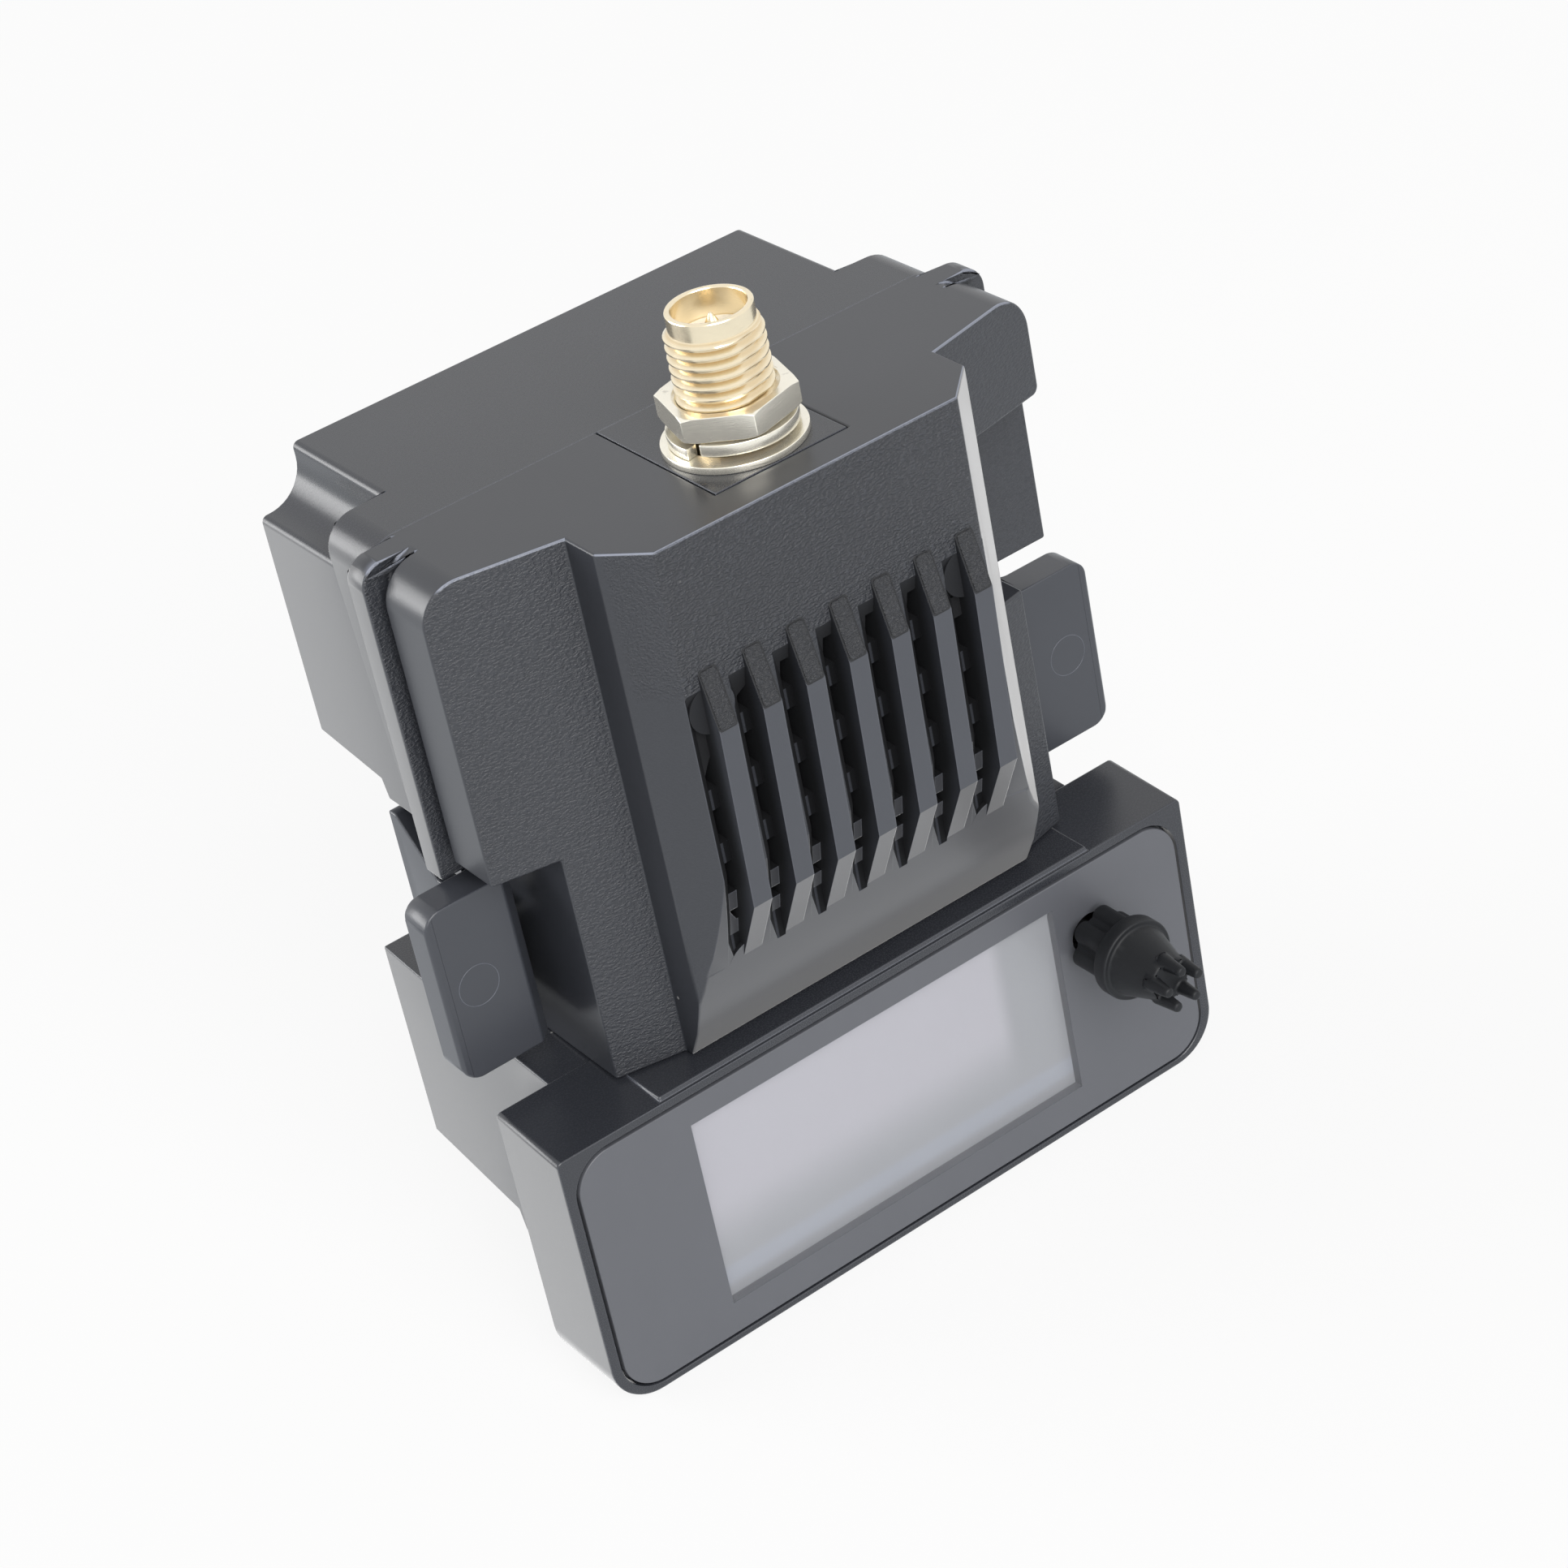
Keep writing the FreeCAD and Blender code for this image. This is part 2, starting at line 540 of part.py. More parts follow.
def antenna_plate():
    plate = box((-PLATE_HALF_WIDTH, PLATE_HALF_WIDTH), (PLATE_FRONT_Y, PARTING_Y), (-PLATE_THICKNESS, 0))
    return plate.cut(rod_z(0, JACK_Y, (-3, 3), JACK_HOLE_RADIUS))


def jack_body():
    flange_z = -COVER_WALL
    ferrule_z = flange_z - 3.0
    nut_top_z = NUT_Z[1]
    barrel = turned([(JACK_BORE_RADIUS, flange_z - 1.2), (4.4, flange_z - 1.2), (4.4, flange_z),
                     (THREAD_CORE_RADIUS, flange_z), (THREAD_CORE_RADIUS, nut_top_z),
                     (THREAD_RADIUS, nut_top_z), (THREAD_RADIUS, THREAD_TOP_Z - 0.3),
                     (THREAD_RADIUS - 0.3, THREAD_TOP_Z), (JACK_RIM_RADIUS, THREAD_TOP_Z),
                     (JACK_RIM_RADIUS, JACK_TOP_Z - 0.1), (JACK_RIM_RADIUS - 0.1, JACK_TOP_Z),
                     (JACK_BORE_RADIUS + 0.1, JACK_TOP_Z), (JACK_BORE_RADIUS, JACK_TOP_Z - 0.1)], jack_point(0))
    ferrule = turned([(0.42, ferrule_z), (1.3, ferrule_z), (1.3, flange_z - 1.8), (3.6, flange_z - 1.8),
                      (3.6, flange_z - 1.0), (JACK_BORE_RADIUS, flange_z - 1.0),
                      (JACK_BORE_RADIUS, flange_z - 1.2), (0.42, flange_z - 1.2)], jack_point(0))
    return fused([barrel, ferrule])


def jack_insulator():
    bottom_z = -COVER_WALL - 1.2
    return rod_z(0, JACK_Y, (bottom_z, 3.4), JACK_BORE_RADIUS).cut(rod_z(0, JACK_Y, (-10, 10), 0.47))


def jack_centre_pin():
    return turned([(0, -COVER_WALL - 1.2), (0.47, -COVER_WALL - 1.2), (0.47, 7.0), (0.15, 7.9), (0, 7.9)],
                  jack_point(0))


def jack_flat_washer():
    return rod_z(0, JACK_Y, (0, WASHER_THICKNESS), WASHER_RADIUS).cut(
        rod_z(0, JACK_Y, (-1, 2), JACK_HOLE_RADIUS))


def jack_lock_washer():
    """Split spring washer: a flat section that climbs from one end of the split to the other."""
    turn_share = 0.96
    lift = 0.02
    section = outline([(JACK_HOLE_RADIUS, 0), (LOCK_RADIUS, 0), (LOCK_RADIUS, LOCK_THICKNESS),
                       (JACK_HOLE_RADIUS, LOCK_THICKNESS)], on_front(0))
    helix = Part.makeHelix(LOCK_RISE, LOCK_RISE * turn_share, (JACK_HOLE_RADIUS + LOCK_RADIUS) / 2)
    ring = mirrored(Part.Wire(helix).makePipeShell([section], True, True))
    ring.rotate(Vector(0, 0, 0), Vector(0, 0, 1), LOCK_TURN)
    ring.translate(jack_point(WASHER_THICKNESS + lift))
    return ring


def hexagon(across_flats, z, turn):
    corner_radius = across_flats / 2 / cos(pi / 6)
    corners = []
    for i in range(6):
        angle = radians(turn + 60 * i)
        corners.append((corner_radius * cos(angle), JACK_Y + corner_radius * sin(angle)))
    return outline(corners, on_plan(z))


def jack_nut():
    low_z, high_z = NUT_Z
    blank = prism(hexagon(NUT_ACROSS_FLATS, low_z, NUT_TURN), Vector(0, 0, high_z - low_z))
    corner_radius = NUT_ACROSS_FLATS / 2 / cos(pi / 6)
    chamfer = 0.35
    rounded = turned([(0, low_z), (corner_radius - chamfer, low_z), (corner_radius + 0.1, low_z + chamfer / 2),
                      (corner_radius + 0.1, high_z - chamfer / 2), (corner_radius - chamfer, high_z), (0, high_z)],
                     jack_point(0))
    return blank.common(rounded).cut(rod_z(0, JACK_Y, (-1, 9), THREAD_CORE_RADIUS + 0.02))


def coax_path():
    """From the jack down, back over the fan and down again to the plug on the board."""
    bend = 4.0
    start = Vector(0, JACK_Y, -COVER_WALL - 3.0)
    middle_z = start.z - bend
    end_y = BOARD_Y[0] - 1.0
    diagonal = bend * (1 - cos(pi / 4))
    first = Part.Arc(start, Vector(0, start.y + diagonal, start.z - bend * sin(pi / 4)),
                     Vector(0, start.y + bend, middle_z)).toShape()
    level = line(Vector(0, start.y + bend, middle_z), Vector(0, end_y - bend, middle_z))
    second = Part.Arc(Vector(0, end_y - bend, middle_z),
                      Vector(0, end_y - diagonal, middle_z - diagonal),
                      Vector(0, end_y, middle_z - bend)).toShape()
    return Part.Wire([first, level, second])


def antenna_lead():
    path = coax_path()
    start = path.Vertexes[0].Point
    section = Part.Wire([Part.makeCircle(0.4, start, Vector(0, 0, 1))])
    lead = path.makePipeShell([section], True, True)
    return Part.Solid(lead) if lead.ShapeType != "Solid" else lead


def lead_plug():
    end_z = -COVER_WALL - 3.0 - 8.0
    middle_y = BOARD_Y[0] - 1.0
    barrel = rod_z(0, middle_y, (end_z - 1.2, end_z), 0.62)
    head = rod_y(0, (BOARD_Y[0] - 1.6, BOARD_Y[0]), end_z - 2.2, 1.3)
    return fused([barrel, head])


# ------------------------------------------------------------------ screen block

def screen_outline(inset, y, top_z, bottom_z, radius):
    side = SCREEN_HALF_WIDTH - inset
    top = top_z - inset
    bottom = bottom_z + inset
    return outline([(-side, top, 0.4), (side, top, 0.4), (side, bottom, radius), (-side, bottom, radius)],
                   on_front(y))


def screen_block(inset, y_from, y_to):
    """The screen block's outer form: level underside, top rising slightly towards the back."""
    slope = (SCREEN_TOP_BACK_Z - SCREEN_TOP_Z) / (BLOCK_FRONT_Y - SCREEN_FRONT_Y)
    sections = []
    for y in (y_from, y_to):
        top = SCREEN_TOP_Z + slope * (y - SCREEN_FRONT_Y)
        sections.append(screen_outline(inset, y, top, SCREEN_BOTTOM_Z, SCREEN_RADIUS - inset * 0.8))
    return Part.makeLoft(sections, True, True)


def panel_corners(gap):
    side = PANEL_HALF_WIDTH - gap
    low, high = PANEL_Z
    radius = PANEL_RADIUS - gap
    return [(-side, high - gap, radius), (side, high - gap, radius),
            (side, low + gap, radius), (-side, low + gap, radius)]


def screen_housing():
    block = screen_block(0, SCREEN_FRONT_Y, BLOCK_FRONT_Y)
    ledge = box((-LEDGE_HALF_WIDTH, LEDGE_HALF_WIDTH), (LEDGE_FRONT_Y, BLOCK_FRONT_Y),
                (SCREEN_TOP_Z - 0.5, SCREEN_TOP_BACK_Z))
    outer = fused([block, ledge])
    seat_y = SCREEN_FRONT_Y + PANEL_THICKNESS
    recess = front_prism(panel_corners(0), SCREEN_FRONT_Y - 1, seat_y)
    rim = 1.5
    mouth = box((-PANEL_HALF_WIDTH + rim, PANEL_HALF_WIDTH - rim), (seat_y - 1, seat_y + 2),
                (PANEL_Z[0] + rim, PANEL_Z[1] - rim))
    room = screen_block(SCREEN_WALL, seat_y + 1.0, BLOCK_FRONT_Y - SCREEN_WALL)
    back_door = box((-14.6, 14.6), (BLOCK_FRONT_Y - 2, BLOCK_FRONT_Y + 1), (-56.4, BLOCK_TOP_Z - WALL - 0.3))
    shell = without(outer, [recess, mouth, room, back_door])
    bosses = [rod_y(x, (-0.4, BLOCK_FRONT_Y), z, 2.2) for x, z in SCREEN_SCREWS]
    pilots = [rod_y(x, (0.4, BLOCK_FRONT_Y + 1), z, 0.95) for x, z in SCREEN_SCREWS]
    return without(fused([shell] + bosses), pilots)


def screen_panel():
    plate = front_prism(panel_corners(PANEL_GAP), SCREEN_FRONT_Y, SCREEN_FRONT_Y + PANEL_THICKNESS)
    window = box(WINDOW_X, (SCREEN_FRONT_Y - 1, SCREEN_FRONT_Y + 2), WINDOW_Z)
    stick_hole = rod_y(STICK_X, (SCREEN_FRONT_Y - 1, SCREEN_FRONT_Y + 2), STICK_Z, 1.6)
    return without(plate, [window, stick_hole])


def display_glass():
    return box(WINDOW_X, (SCREEN_FRONT_Y, SCREEN_FRONT_Y + PANEL_THICKNESS), WINDOW_Z)


def display_module():
    """Display pane behind the window, and its frame: both end short of the joystick switch."""
    right_x = STICK_X - SWITCH_HALF_WIDTH - 0.3
    front_y = SCREEN_FRONT_Y + PANEL_THICKNESS
    back_y = front_y + 1.0
    pane = box((WINDOW_X[0] - 1.7, right_x), (front_y, back_y), (-58.6, -42.0))
    frame = box((-14.7, right_x), (back_y, SCREEN_BOARD_Y[0]), (-57.0, -43.5))
    return fused([pane, frame])


def screen_board():
    upper = box((-22.5, 22.5), SCREEN_BOARD_Y, (-49.0, -41.7))
    lower = box((-14.3, 14.3), SCREEN_BOARD_Y, (-57.3, -41.7))
    socket = box((-9.0, -1.0), (SCREEN_BOARD_Y[1], SCREEN_BOARD_Y[1] + 1.0), (-46.0, -43.0))
    slot = box((-8.6, -1.4), (SCREEN_BOARD_Y[1] + 0.4, SCREEN_BOARD_Y[1] + 0.6), (-47.0, -43.8))
    return without(fused([upper, lower, socket]), [slot])


# ------------------------------------------------------------------ joystick

def joystick_switch():
    """Five-way switch: a case with a round well for the gimbal and a lid opening for the stem."""
    case = box((STICK_X - SWITCH_HALF_WIDTH, STICK_X + SWITCH_HALF_WIDTH), (-1.2, SCREEN_BOARD_Y[0]),
               (STICK_Z - 3.0, STICK_Z + 3.0))
    well = rod_y(STICK_X, (-0.75, 1.15), STICK_Z, 2.6)
    mouth = rod_y(STICK_X, (-2, 0), STICK_Z, 1.5)
    trunnions = rod_x((STICK_X - 3.1, STICK_X + 3.1), STICK_PIVOT_Y, STICK_Z, 0.3)
    return without(case, [well, mouth, trunnions])


def joystick_gimbal():
    """Ring that tilts about X in the case and carries the rocker."""
    ring = rod_y(STICK_X, (STICK_PIVOT_Y - 0.3, STICK_PIVOT_Y + 0.3), STICK_Z, 2.3).cut(
        rod_y(STICK_X, (-2, 2), STICK_Z, 1.7))
    pins = rod_x((STICK_X - 3.0, STICK_X + 3.0), STICK_PIVOT_Y, STICK_Z, 0.25).cut(
        rod_y(STICK_X, (-2, 2), STICK_Z, 2.0))
    holes = rod_z(STICK_X, STICK_PIVOT_Y, (STICK_Z - 3, STICK_Z + 3), 0.25)
    return without(fused([ring, pins]), [holes])


def joystick_rocker():
    """Inner ring that tilts about Z in the gimbal and guides the stem."""
    ring = rod_y(STICK_X, (STICK_PIVOT_Y - 0.35, STICK_PIVOT_Y + 0.35), STICK_Z, 1.4)
    pins = rod_z(STICK_X, STICK_PIVOT_Y, (STICK_Z - 2.15, STICK_Z + 2.15), 0.2)
    bore = rod_y(STICK_X, (-2, 2), STICK_Z, 0.65 + RUNNING_CLEARANCE)
    return without(fused([ring, pins]), [bore])


def joystick_stem():
    return rod_y(STICK_X, (STICK_BASE_Y - 2.0, STICK_PIVOT_Y + 0.5), STICK_Z, 0.65)


def joystick_cap():
    """Fluted skirt, disc, tapered neck and a crown of prongs."""
    skirt_y = (-6.2, STICK_BASE_Y)
    lobes = []
    for i in range(6):
        angle = radians(60 * i + 15)
        lobes.append(rod_y(STICK_X + 1.75 * cos(angle), skirt_y, STICK_Z + 1.75 * sin(angle), 0.8))
    body = fused([rod_y(STICK_X, skirt_y, STICK_Z, 1.95), rod_y(STICK_X, (-7.4, -6.2), STICK_Z, 3.0),
                  cone_y(STICK_X, STICK_Z, (-10.8, 1.6), (-7.4, 2.6))] + lobes)
    prongs = []
    for i in range(5):
        angle = radians(72 * i + 20)
        prong = cone_y(STICK_X + 1.4 * cos(angle), STICK_Z + 1.4 * sin(angle), (STICK_TIP_Y, 0.35), (-10.2, 0.6))
        prongs.append(prong)
    bore = rod_y(STICK_X, (STICK_BASE_Y - 2.0, STICK_BASE_Y + 1), STICK_Z, 0.65)
    return without(fused([body] + prongs), [bore])


# ------------------------------------------------------------------ latches

def latch():
    """Right-hand latch: finger tab, bent neck, arm with its catch, and the bore of its guide pin."""
    low, high = TAB_Z
    inner, outer = ARM_X
    plan = [(TAB_OUTER_X, TAB_Y[0], 0.3), (TAB_INNER_X, TAB_Y[0]), (inner, TAB_Y[0] + 1.0), (inner, ARM_BACK_Y),
            (outer, ARM_BACK_Y), (outer, TAB_Y[1], 0.8), (TAB_OUTER_X, TAB_Y[1], 0.3)]
    blank = plan_prism(plan, low, high)
    tab_face = front_prism([(inner - 1, high), (TAB_OUTER_X, high, TAB_RADIUS), (TAB_OUTER_X, low, TAB_RADIUS),
                            (inner - 1, low)], TAB_Y[0] - 1, ARM_BACK_Y + 1)
    above_arm = side_prism(list(ARM_TOP) + [(ARM_BACK_Y + 1, high + 1), (ARM_TOP[0][0], high + 1)],
                           inner - 1, outer + 0.001)
    catch = plan_prism([(outer - 0.3, 15.8), (outer + 1.0, 15.8), (outer + 1.0, 16.2), (outer, 17.9),
                        (outer - 0.3, 17.9)], low + 0.5, low + 6.2)
    body = fused([without(blank.common(tab_face), [above_arm]), catch])
    counterbore = rod_x((outer - 0.7, outer + 1), LATCH_PIN_Y, LATCH_PIN_Z, 1.7)
    bore = rod_x((inner - 1, outer), LATCH_PIN_Y, LATCH_PIN_Z, LATCH_PIN_RADIUS + RUNNING_CLEARANCE)
    return without(body, [counterbore, bore])


def latch_pin():
    outer = ARM_X[1]
    shank = rod_x((CORE_HALF_WIDTH - 2.4, outer - 0.6), LATCH_PIN_Y, LATCH_PIN_Z, LATCH_PIN_RADIUS)
    head = rod_x((outer - 0.65, outer - 0.05), LATCH_PIN_Y, LATCH_PIN_Z, 1.5)
    return fused([shank, head])


def latch_spring():
    """Coil spring between the core and the latch arm, around the guide pin."""
    wire_radius = 0.2
    coil_radius = 1.35
    turns = 3.0
    start_x = CORE_HALF_WIDTH + wire_radius
    length = ARM_X[0] - CORE_HALF_WIDTH - 2 * wire_radius - 0.04
    helix = Part.makeHelix(length / turns, length, coil_radius)
    lead_angle = length / turns / (2 * pi * coil_radius)
    corners = []
    for i in range(6):
        angle = radians(60 * i)
        rise = wire_radius * sin(angle)
        corners.append(Vector(coil_radius + wire_radius * cos(angle), -rise * lead_angle, rise))
    section = Part.makePolygon(corners + corners[:1])
    coil = Part.Wire(helix).makePipeShell([section], True, True)
    coil.rotate(Vector(0, 0, 0), Vector(0, 1, 0), 90)
    coil.translate(Vector(start_x, LATCH_PIN_Y, LATCH_PIN_Z))
    return coil


# ------------------------------------------------------------------ fan

def fan_holes():
    return [(x, FAN_Z + dz) for x in (-FAN_HOLE_PITCH, FAN_HOLE_PITCH) for dz in (-FAN_HOLE_PITCH, FAN_HOLE_PITCH)]


def fan_frame():
    half = FAN_HALF_WIDTH
    square = front_prism([(-half, FAN_Z - half, 2.5), (half, FAN_Z - half, 2.5),
                          (half, FAN_Z + half, 2.5), (-half, FAN_Z + half, 2.5)], *FAN_Y)
    rim = without(square, [rod_y(0, (0, 12), FAN_Z, FAN_BORE_RADIUS)])
    hub_y = (FAN_Y[1] - 1.0, FAN_Y[1])
    spokes = []
    for i in range(3):
        spoke = box((-0.9, 0.9), hub_y, (FAN_Z + 3, FAN_Z + FAN_BORE_RADIUS + 0.5))
        spoke.rotate(Vector(0, 0, FAN_Z), Vector(0, 1, 0), 30 + 120 * i)
        spokes.append(spoke)
    hub = rod_y(0, hub_y, FAN_Z, 6.8)
    bearing = rod_y(0, (FAN_Y[0] + 1.8, FAN_Y[1]), FAN_Z, 1.8)
    cuts = [rod_y(0, (FAN_Y[0], FAN_Y[1] - 0.4), FAN_Z, 0.75 + RUNNING_CLEARANCE)]
    cuts += [rod_y(x, (0, 12), z, 1.2) for x, z in fan_holes()]
    return without(fused([rim, hub, bearing] + spokes), cuts)


def fan_blade():
    """Blade twisted from its steep root at the hub to its flatter tip."""
    sections = []
    middle_y = FAN_Y[0] + 3.0
    for radius, pitch, chord in ((6.6, 48.0, 5.4), (11.4, 32.0, 6.6)):
        half_run = chord / 2 * cos(radians(pitch))
        half_rise = chord / 2 * sin(radians(pitch))
        thick = 0.28
        corners = [(-half_run, middle_y + half_rise - thick), (half_run, middle_y - half_rise - thick),
                   (half_run, middle_y - half_rise + thick), (-half_run, middle_y + half_rise + thick)]
        sections.append(outline(corners, lambda u, v, r=radius: Vector(u, v, FAN_Z + r)))
    return Part.makeLoft(sections, True, True)


def fan_rotor():
    front_y = FAN_Y[0] + 0.3
    rear_y = FAN_Y[1] - 1.4
    cup = rod_y(0, (front_y, rear_y), FAN_Z, 7.0).cut(rod_y(0, (front_y + 1.0, rear_y + 1), FAN_Z, 6.2))
    shaft = rod_y(0, (front_y, FAN_Y[1] - 0.7), FAN_Z, 0.75)
    blades = []
    for i in range(FAN_BLADES):
        blade = fan_blade()
        blade.rotate(Vector(0, 0, FAN_Z), Vector(0, 1, 0), 360 * i / FAN_BLADES)
        blades.append(blade)
    inside_cup = rod_y(0, (front_y + 1.0, rear_y + 1), FAN_Z, 6.2).cut(
        rod_y(0, (front_y, rear_y + 2), FAN_Z, 0.75))
    return without(fused([cup, shaft] + blades), [inside_cup])


# ------------------------------------------------------------------ boards and cooling

def main_board():
    board = box((-BOARD_HALF_WIDTH, BOARD_HALF_WIDTH), BOARD_Y, BOARD_Z)
    cuts = [rod_y(x, (15, 19), z, 3.4) for x, z in COVER_SCREWS]
    cuts += [rod_y(x, (15, 19), z, 1.1) for x, z in BOARD_SCREWS]
    return without(board, cuts)


def board_components():
    """Chips, capacitors and the ribbon socket on the main board, as separate solids."""
    front = BOARD_Y[0]
    processor = box((-9.0, -2.0), (front - 0.9, front), (-45.0, -38.0))
    regulator = box((3.0, 7.5), (front - 1.5, front), (-41.5, -37.5))
    coil = box((3.5, 8.0), (front - 2.4, front), (-48.0, -43.5))
    capacitors = [rod_y(x, (front - 5.0, front), -13.0, 2.0) for x in (-9.0, 9.0)]
    socket = box((-9.0, -1.0), (front - 1.0, front), (-50.5, -47.5)).cut(
        box((-8.6, -1.4), (front - 0.7, front - 0.5), (-51.0, -48.2)))
    return Part.makeCompound([processor, regulator, coil, socket] + capacitors)


def board_link():
    """Flat ribbon from the screen board's socket down, across and up to the main board's."""
    thickness = 0.12
    bend = 3.0
    front_y = SCREEN_BOARD_Y[1] + 0.5
    rear_y = BOARD_Y[0] - 0.6
    start_z = -44.0
    turn_z = -51.4
    low_z = turn_z - bend
    edges = []
    for inset in (-thickness / 2, thickness / 2):
        radius = bend - inset
        diagonal = radius * sin(pi / 4)
        left = front_y + inset
        right = rear_y - inset
        bottom = low_z + inset
        centre_left = Vector(-8.5, front_y + bend, turn_z)
        centre_right = Vector(-8.5, rear_y - bend, turn_z)
        edges.append([line(Vector(-8.5, left, start_z), Vector(-8.5, left, turn_z)),
                      Part.Arc(Vector(-8.5, left, turn_z), centre_left + Vector(0, -diagonal, -diagonal),
                               Vector(-8.5, front_y + bend, bottom)).toShape(),
                      line(Vector(-8.5, front_y + bend, bottom), Vector(-8.5, rear_y - bend, bottom)),
                      Part.Arc(Vector(-8.5, rear_y - bend, bottom), centre_right + Vector(0, diagonal, -diagonal),
                               Vector(-8.5, right, turn_z)).toShape(),
                      line(Vector(-8.5, right, turn_z), Vector(-8.5, right, -48.4))])
    ends = [line(Vector(-8.5, front_y - thickness / 2, start_z), Vector(-8.5, front_y + thickness / 2, start_z)),
            line(Vector(-8.5, rear_y + thickness / 2, -48.4), Vector(-8.5, rear_y - thickness / 2, -48.4))]
    return prism(Part.Wire(Part.__sortEdges__(edges[0] + edges[1] + ends)), Vector(7.0, 0, 0))


def rf_shield():
    can = box((-SINK_HALF_WIDTH, SINK_HALF_WIDTH), (SHIELD_Y, BOARD_Y[0]), SINK_Z)
    inside = box((-SINK_HALF_WIDTH + 0.3, SINK_HALF_WIDTH - 0.3), (SHIELD_Y + 0.3, BOARD_Y[0] + 1),
                 (SINK_Z[0] + 0.3, SINK_Z[1] - 0.3))
    return can.cut(inside)


def heat_sink():
    base = box((-SINK_HALF_WIDTH, SINK_HALF_WIDTH), (SINK_Y[1], SHIELD_Y), SINK_Z)
    fin_count = 9
    fin_width = 0.8
    pitch = (2 * SINK_HALF_WIDTH - fin_width) / (fin_count - 1)
    fins = [box((-SINK_HALF_WIDTH + i * pitch, -SINK_HALF_WIDTH + i * pitch + fin_width), (SINK_Y[0], SHIELD_Y),
                SINK_Z) for i in range(fin_count)]
    return fused([base] + fins)


def bay_socket():
    half_row = SOCKET_PINS * PIN_PITCH / 2
    block = box((-1.3, 1.3), (BOARD_Y[1], BACK_Y - 0.4), (SOCKET_Z - half_row, SOCKET_Z + half_row))
    holes = [box((-0.5, 0.5), (BOARD_Y[1] - 1, BACK_Y + 1), (z - 0.5, z + 0.5)) for z in socket_rows()]
    return without(block, holes)


def socket_rows():
    middle = (SOCKET_PINS - 1) / 2
    return [SOCKET_Z + (i - middle) * PIN_PITCH for i in range(SOCKET_PINS)]


def bay_contacts():
    """One sprung blade pair per way, on a foot that stands on the board."""
    contacts = []
    for z in socket_rows():
        foot = box((-0.5, 0.5), (BOARD_Y[1], BOARD_Y[1] + 1.5), (z - 0.5, z + 0.5))
        blades = [box((x, x + 0.15), (BOARD_Y[1] + 1.0, BACK_Y - 1.2), (z - 0.5, z + 0.5)) for x in (-0.5, 0.35)]
        contacts.append(fused([foot] + blades))
    return Part.makeCompound(contacts)


# ------------------------------------------------------------------ screws

def screw_y(x, z, seat_y, length, shank_radius, head_radius, head_height, towards):
    """Pan-head screw along Y: towards is -1 when the shank points to the front."""
    tip_y = seat_y + towards * length
    head_y = seat_y - towards * head_height
    shank = rod_y(x, (seat_y, tip_y), z, shank_radius)
    head = rod_y(x, (seat_y, head_y), z, head_radius)
    socket = rod_y(x, (head_y, head_y + towards * head_height * 0.5), z, head_radius * 0.4)
    return fused([shank, head]).cut(socket)


def case_screws():
    cover = [screw_y(x, z, PARTING_Y + 2.0, 7.0, 0.95, 1.9, 1.4, -1) for x, z in COVER_SCREWS]
    screen = [screw_y(x, z, BLOCK_FRONT_Y + 2.0, 5.4, 0.95, 1.9, 1.4, -1) for x, z in SCREEN_SCREWS]
    return Part.makeCompound(cover + screen)


def board_screws():
    return Part.makeCompound([screw_y(x, z, BOARD_Y[0], 5.0, 0.8, 1.6, 1.1, 1) for x, z in BOARD_SCREWS])


def fan_screws():
    """Long screws through the fan's corners into the cover's posts."""
    return Part.makeCompound([screw_y(x, z, FAN_Y[1], 9.2, 0.7, 1.4, 0.5, -1) for x, z in fan_holes()])


# ------------------------------------------------------------------ export

def nodes():
    pieces = {
        "rear_housing": rear_housing(), "front_cover": front_cover(), "screen_housing": screen_housing(),
        "screen_panel": screen_panel(), "display_glass": display_glass(), "display_module": display_module(),
        "antenna_plate": antenna_plate(), "jack_body": jack_body(), "jack_insulator": jack_insulator(),
        "jack_centre_pin": jack_centre_pin(), "jack_flat_washer": jack_flat_washer(),
        "jack_lock_washer": jack_lock_washer(), "jack_nut": jack_nut(), "antenna_lead": antenna_lead(),
        "lead_plug": lead_plug(), "main_board": main_board(), "board_components": board_components(),
        "rf_shield": rf_shield(), "heat_sink": heat_sink(), "fan_frame": fan_frame(), "fan_rotor": fan_rotor(),
        "screen_board": screen_board(), "board_link": board_link(), "bay_socket": bay_socket(),
        "bay_contacts": bay_contacts(), "case_screws": case_screws(), "board_screws": board_screws(),
        "fan_screws": fan_screws(), "joystick_switch": joystick_switch(), "joystick_gimbal": joystick_gimbal(),
        "joystick_rocker": joystick_rocker(), "joystick_stem": joystick_stem(), "joystick_cap": joystick_cap(),
    }
    for name, make in (("latch", latch), ("latch_pin", latch_pin), ("latch_spring", latch_spring)):
        shape = make()
        pieces["right_" + name] = shape
        pieces["left_" + name] = mirrored(shape)
    return pieces


def export():
    os.makedirs("parts", exist_ok=True)
    for name, shape in nodes().items():
        placed = shape.copy()
        placed.translate(-ORIGIN)
        placed.exportStep(os.path.join("parts", name + ".step"))
        print(name, "solids", len(placed.Solids), "valid", placed.isValid(), "volume", round(placed.Volume, 2))


export()
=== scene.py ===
import json
from math import pi, radians

import bmesh
import bpy
from bpy.props import FloatProperty, FloatVectorProperty, IntProperty, PointerProperty
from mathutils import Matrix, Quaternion, Vector
from mathutils.bvhtree import BVHTree

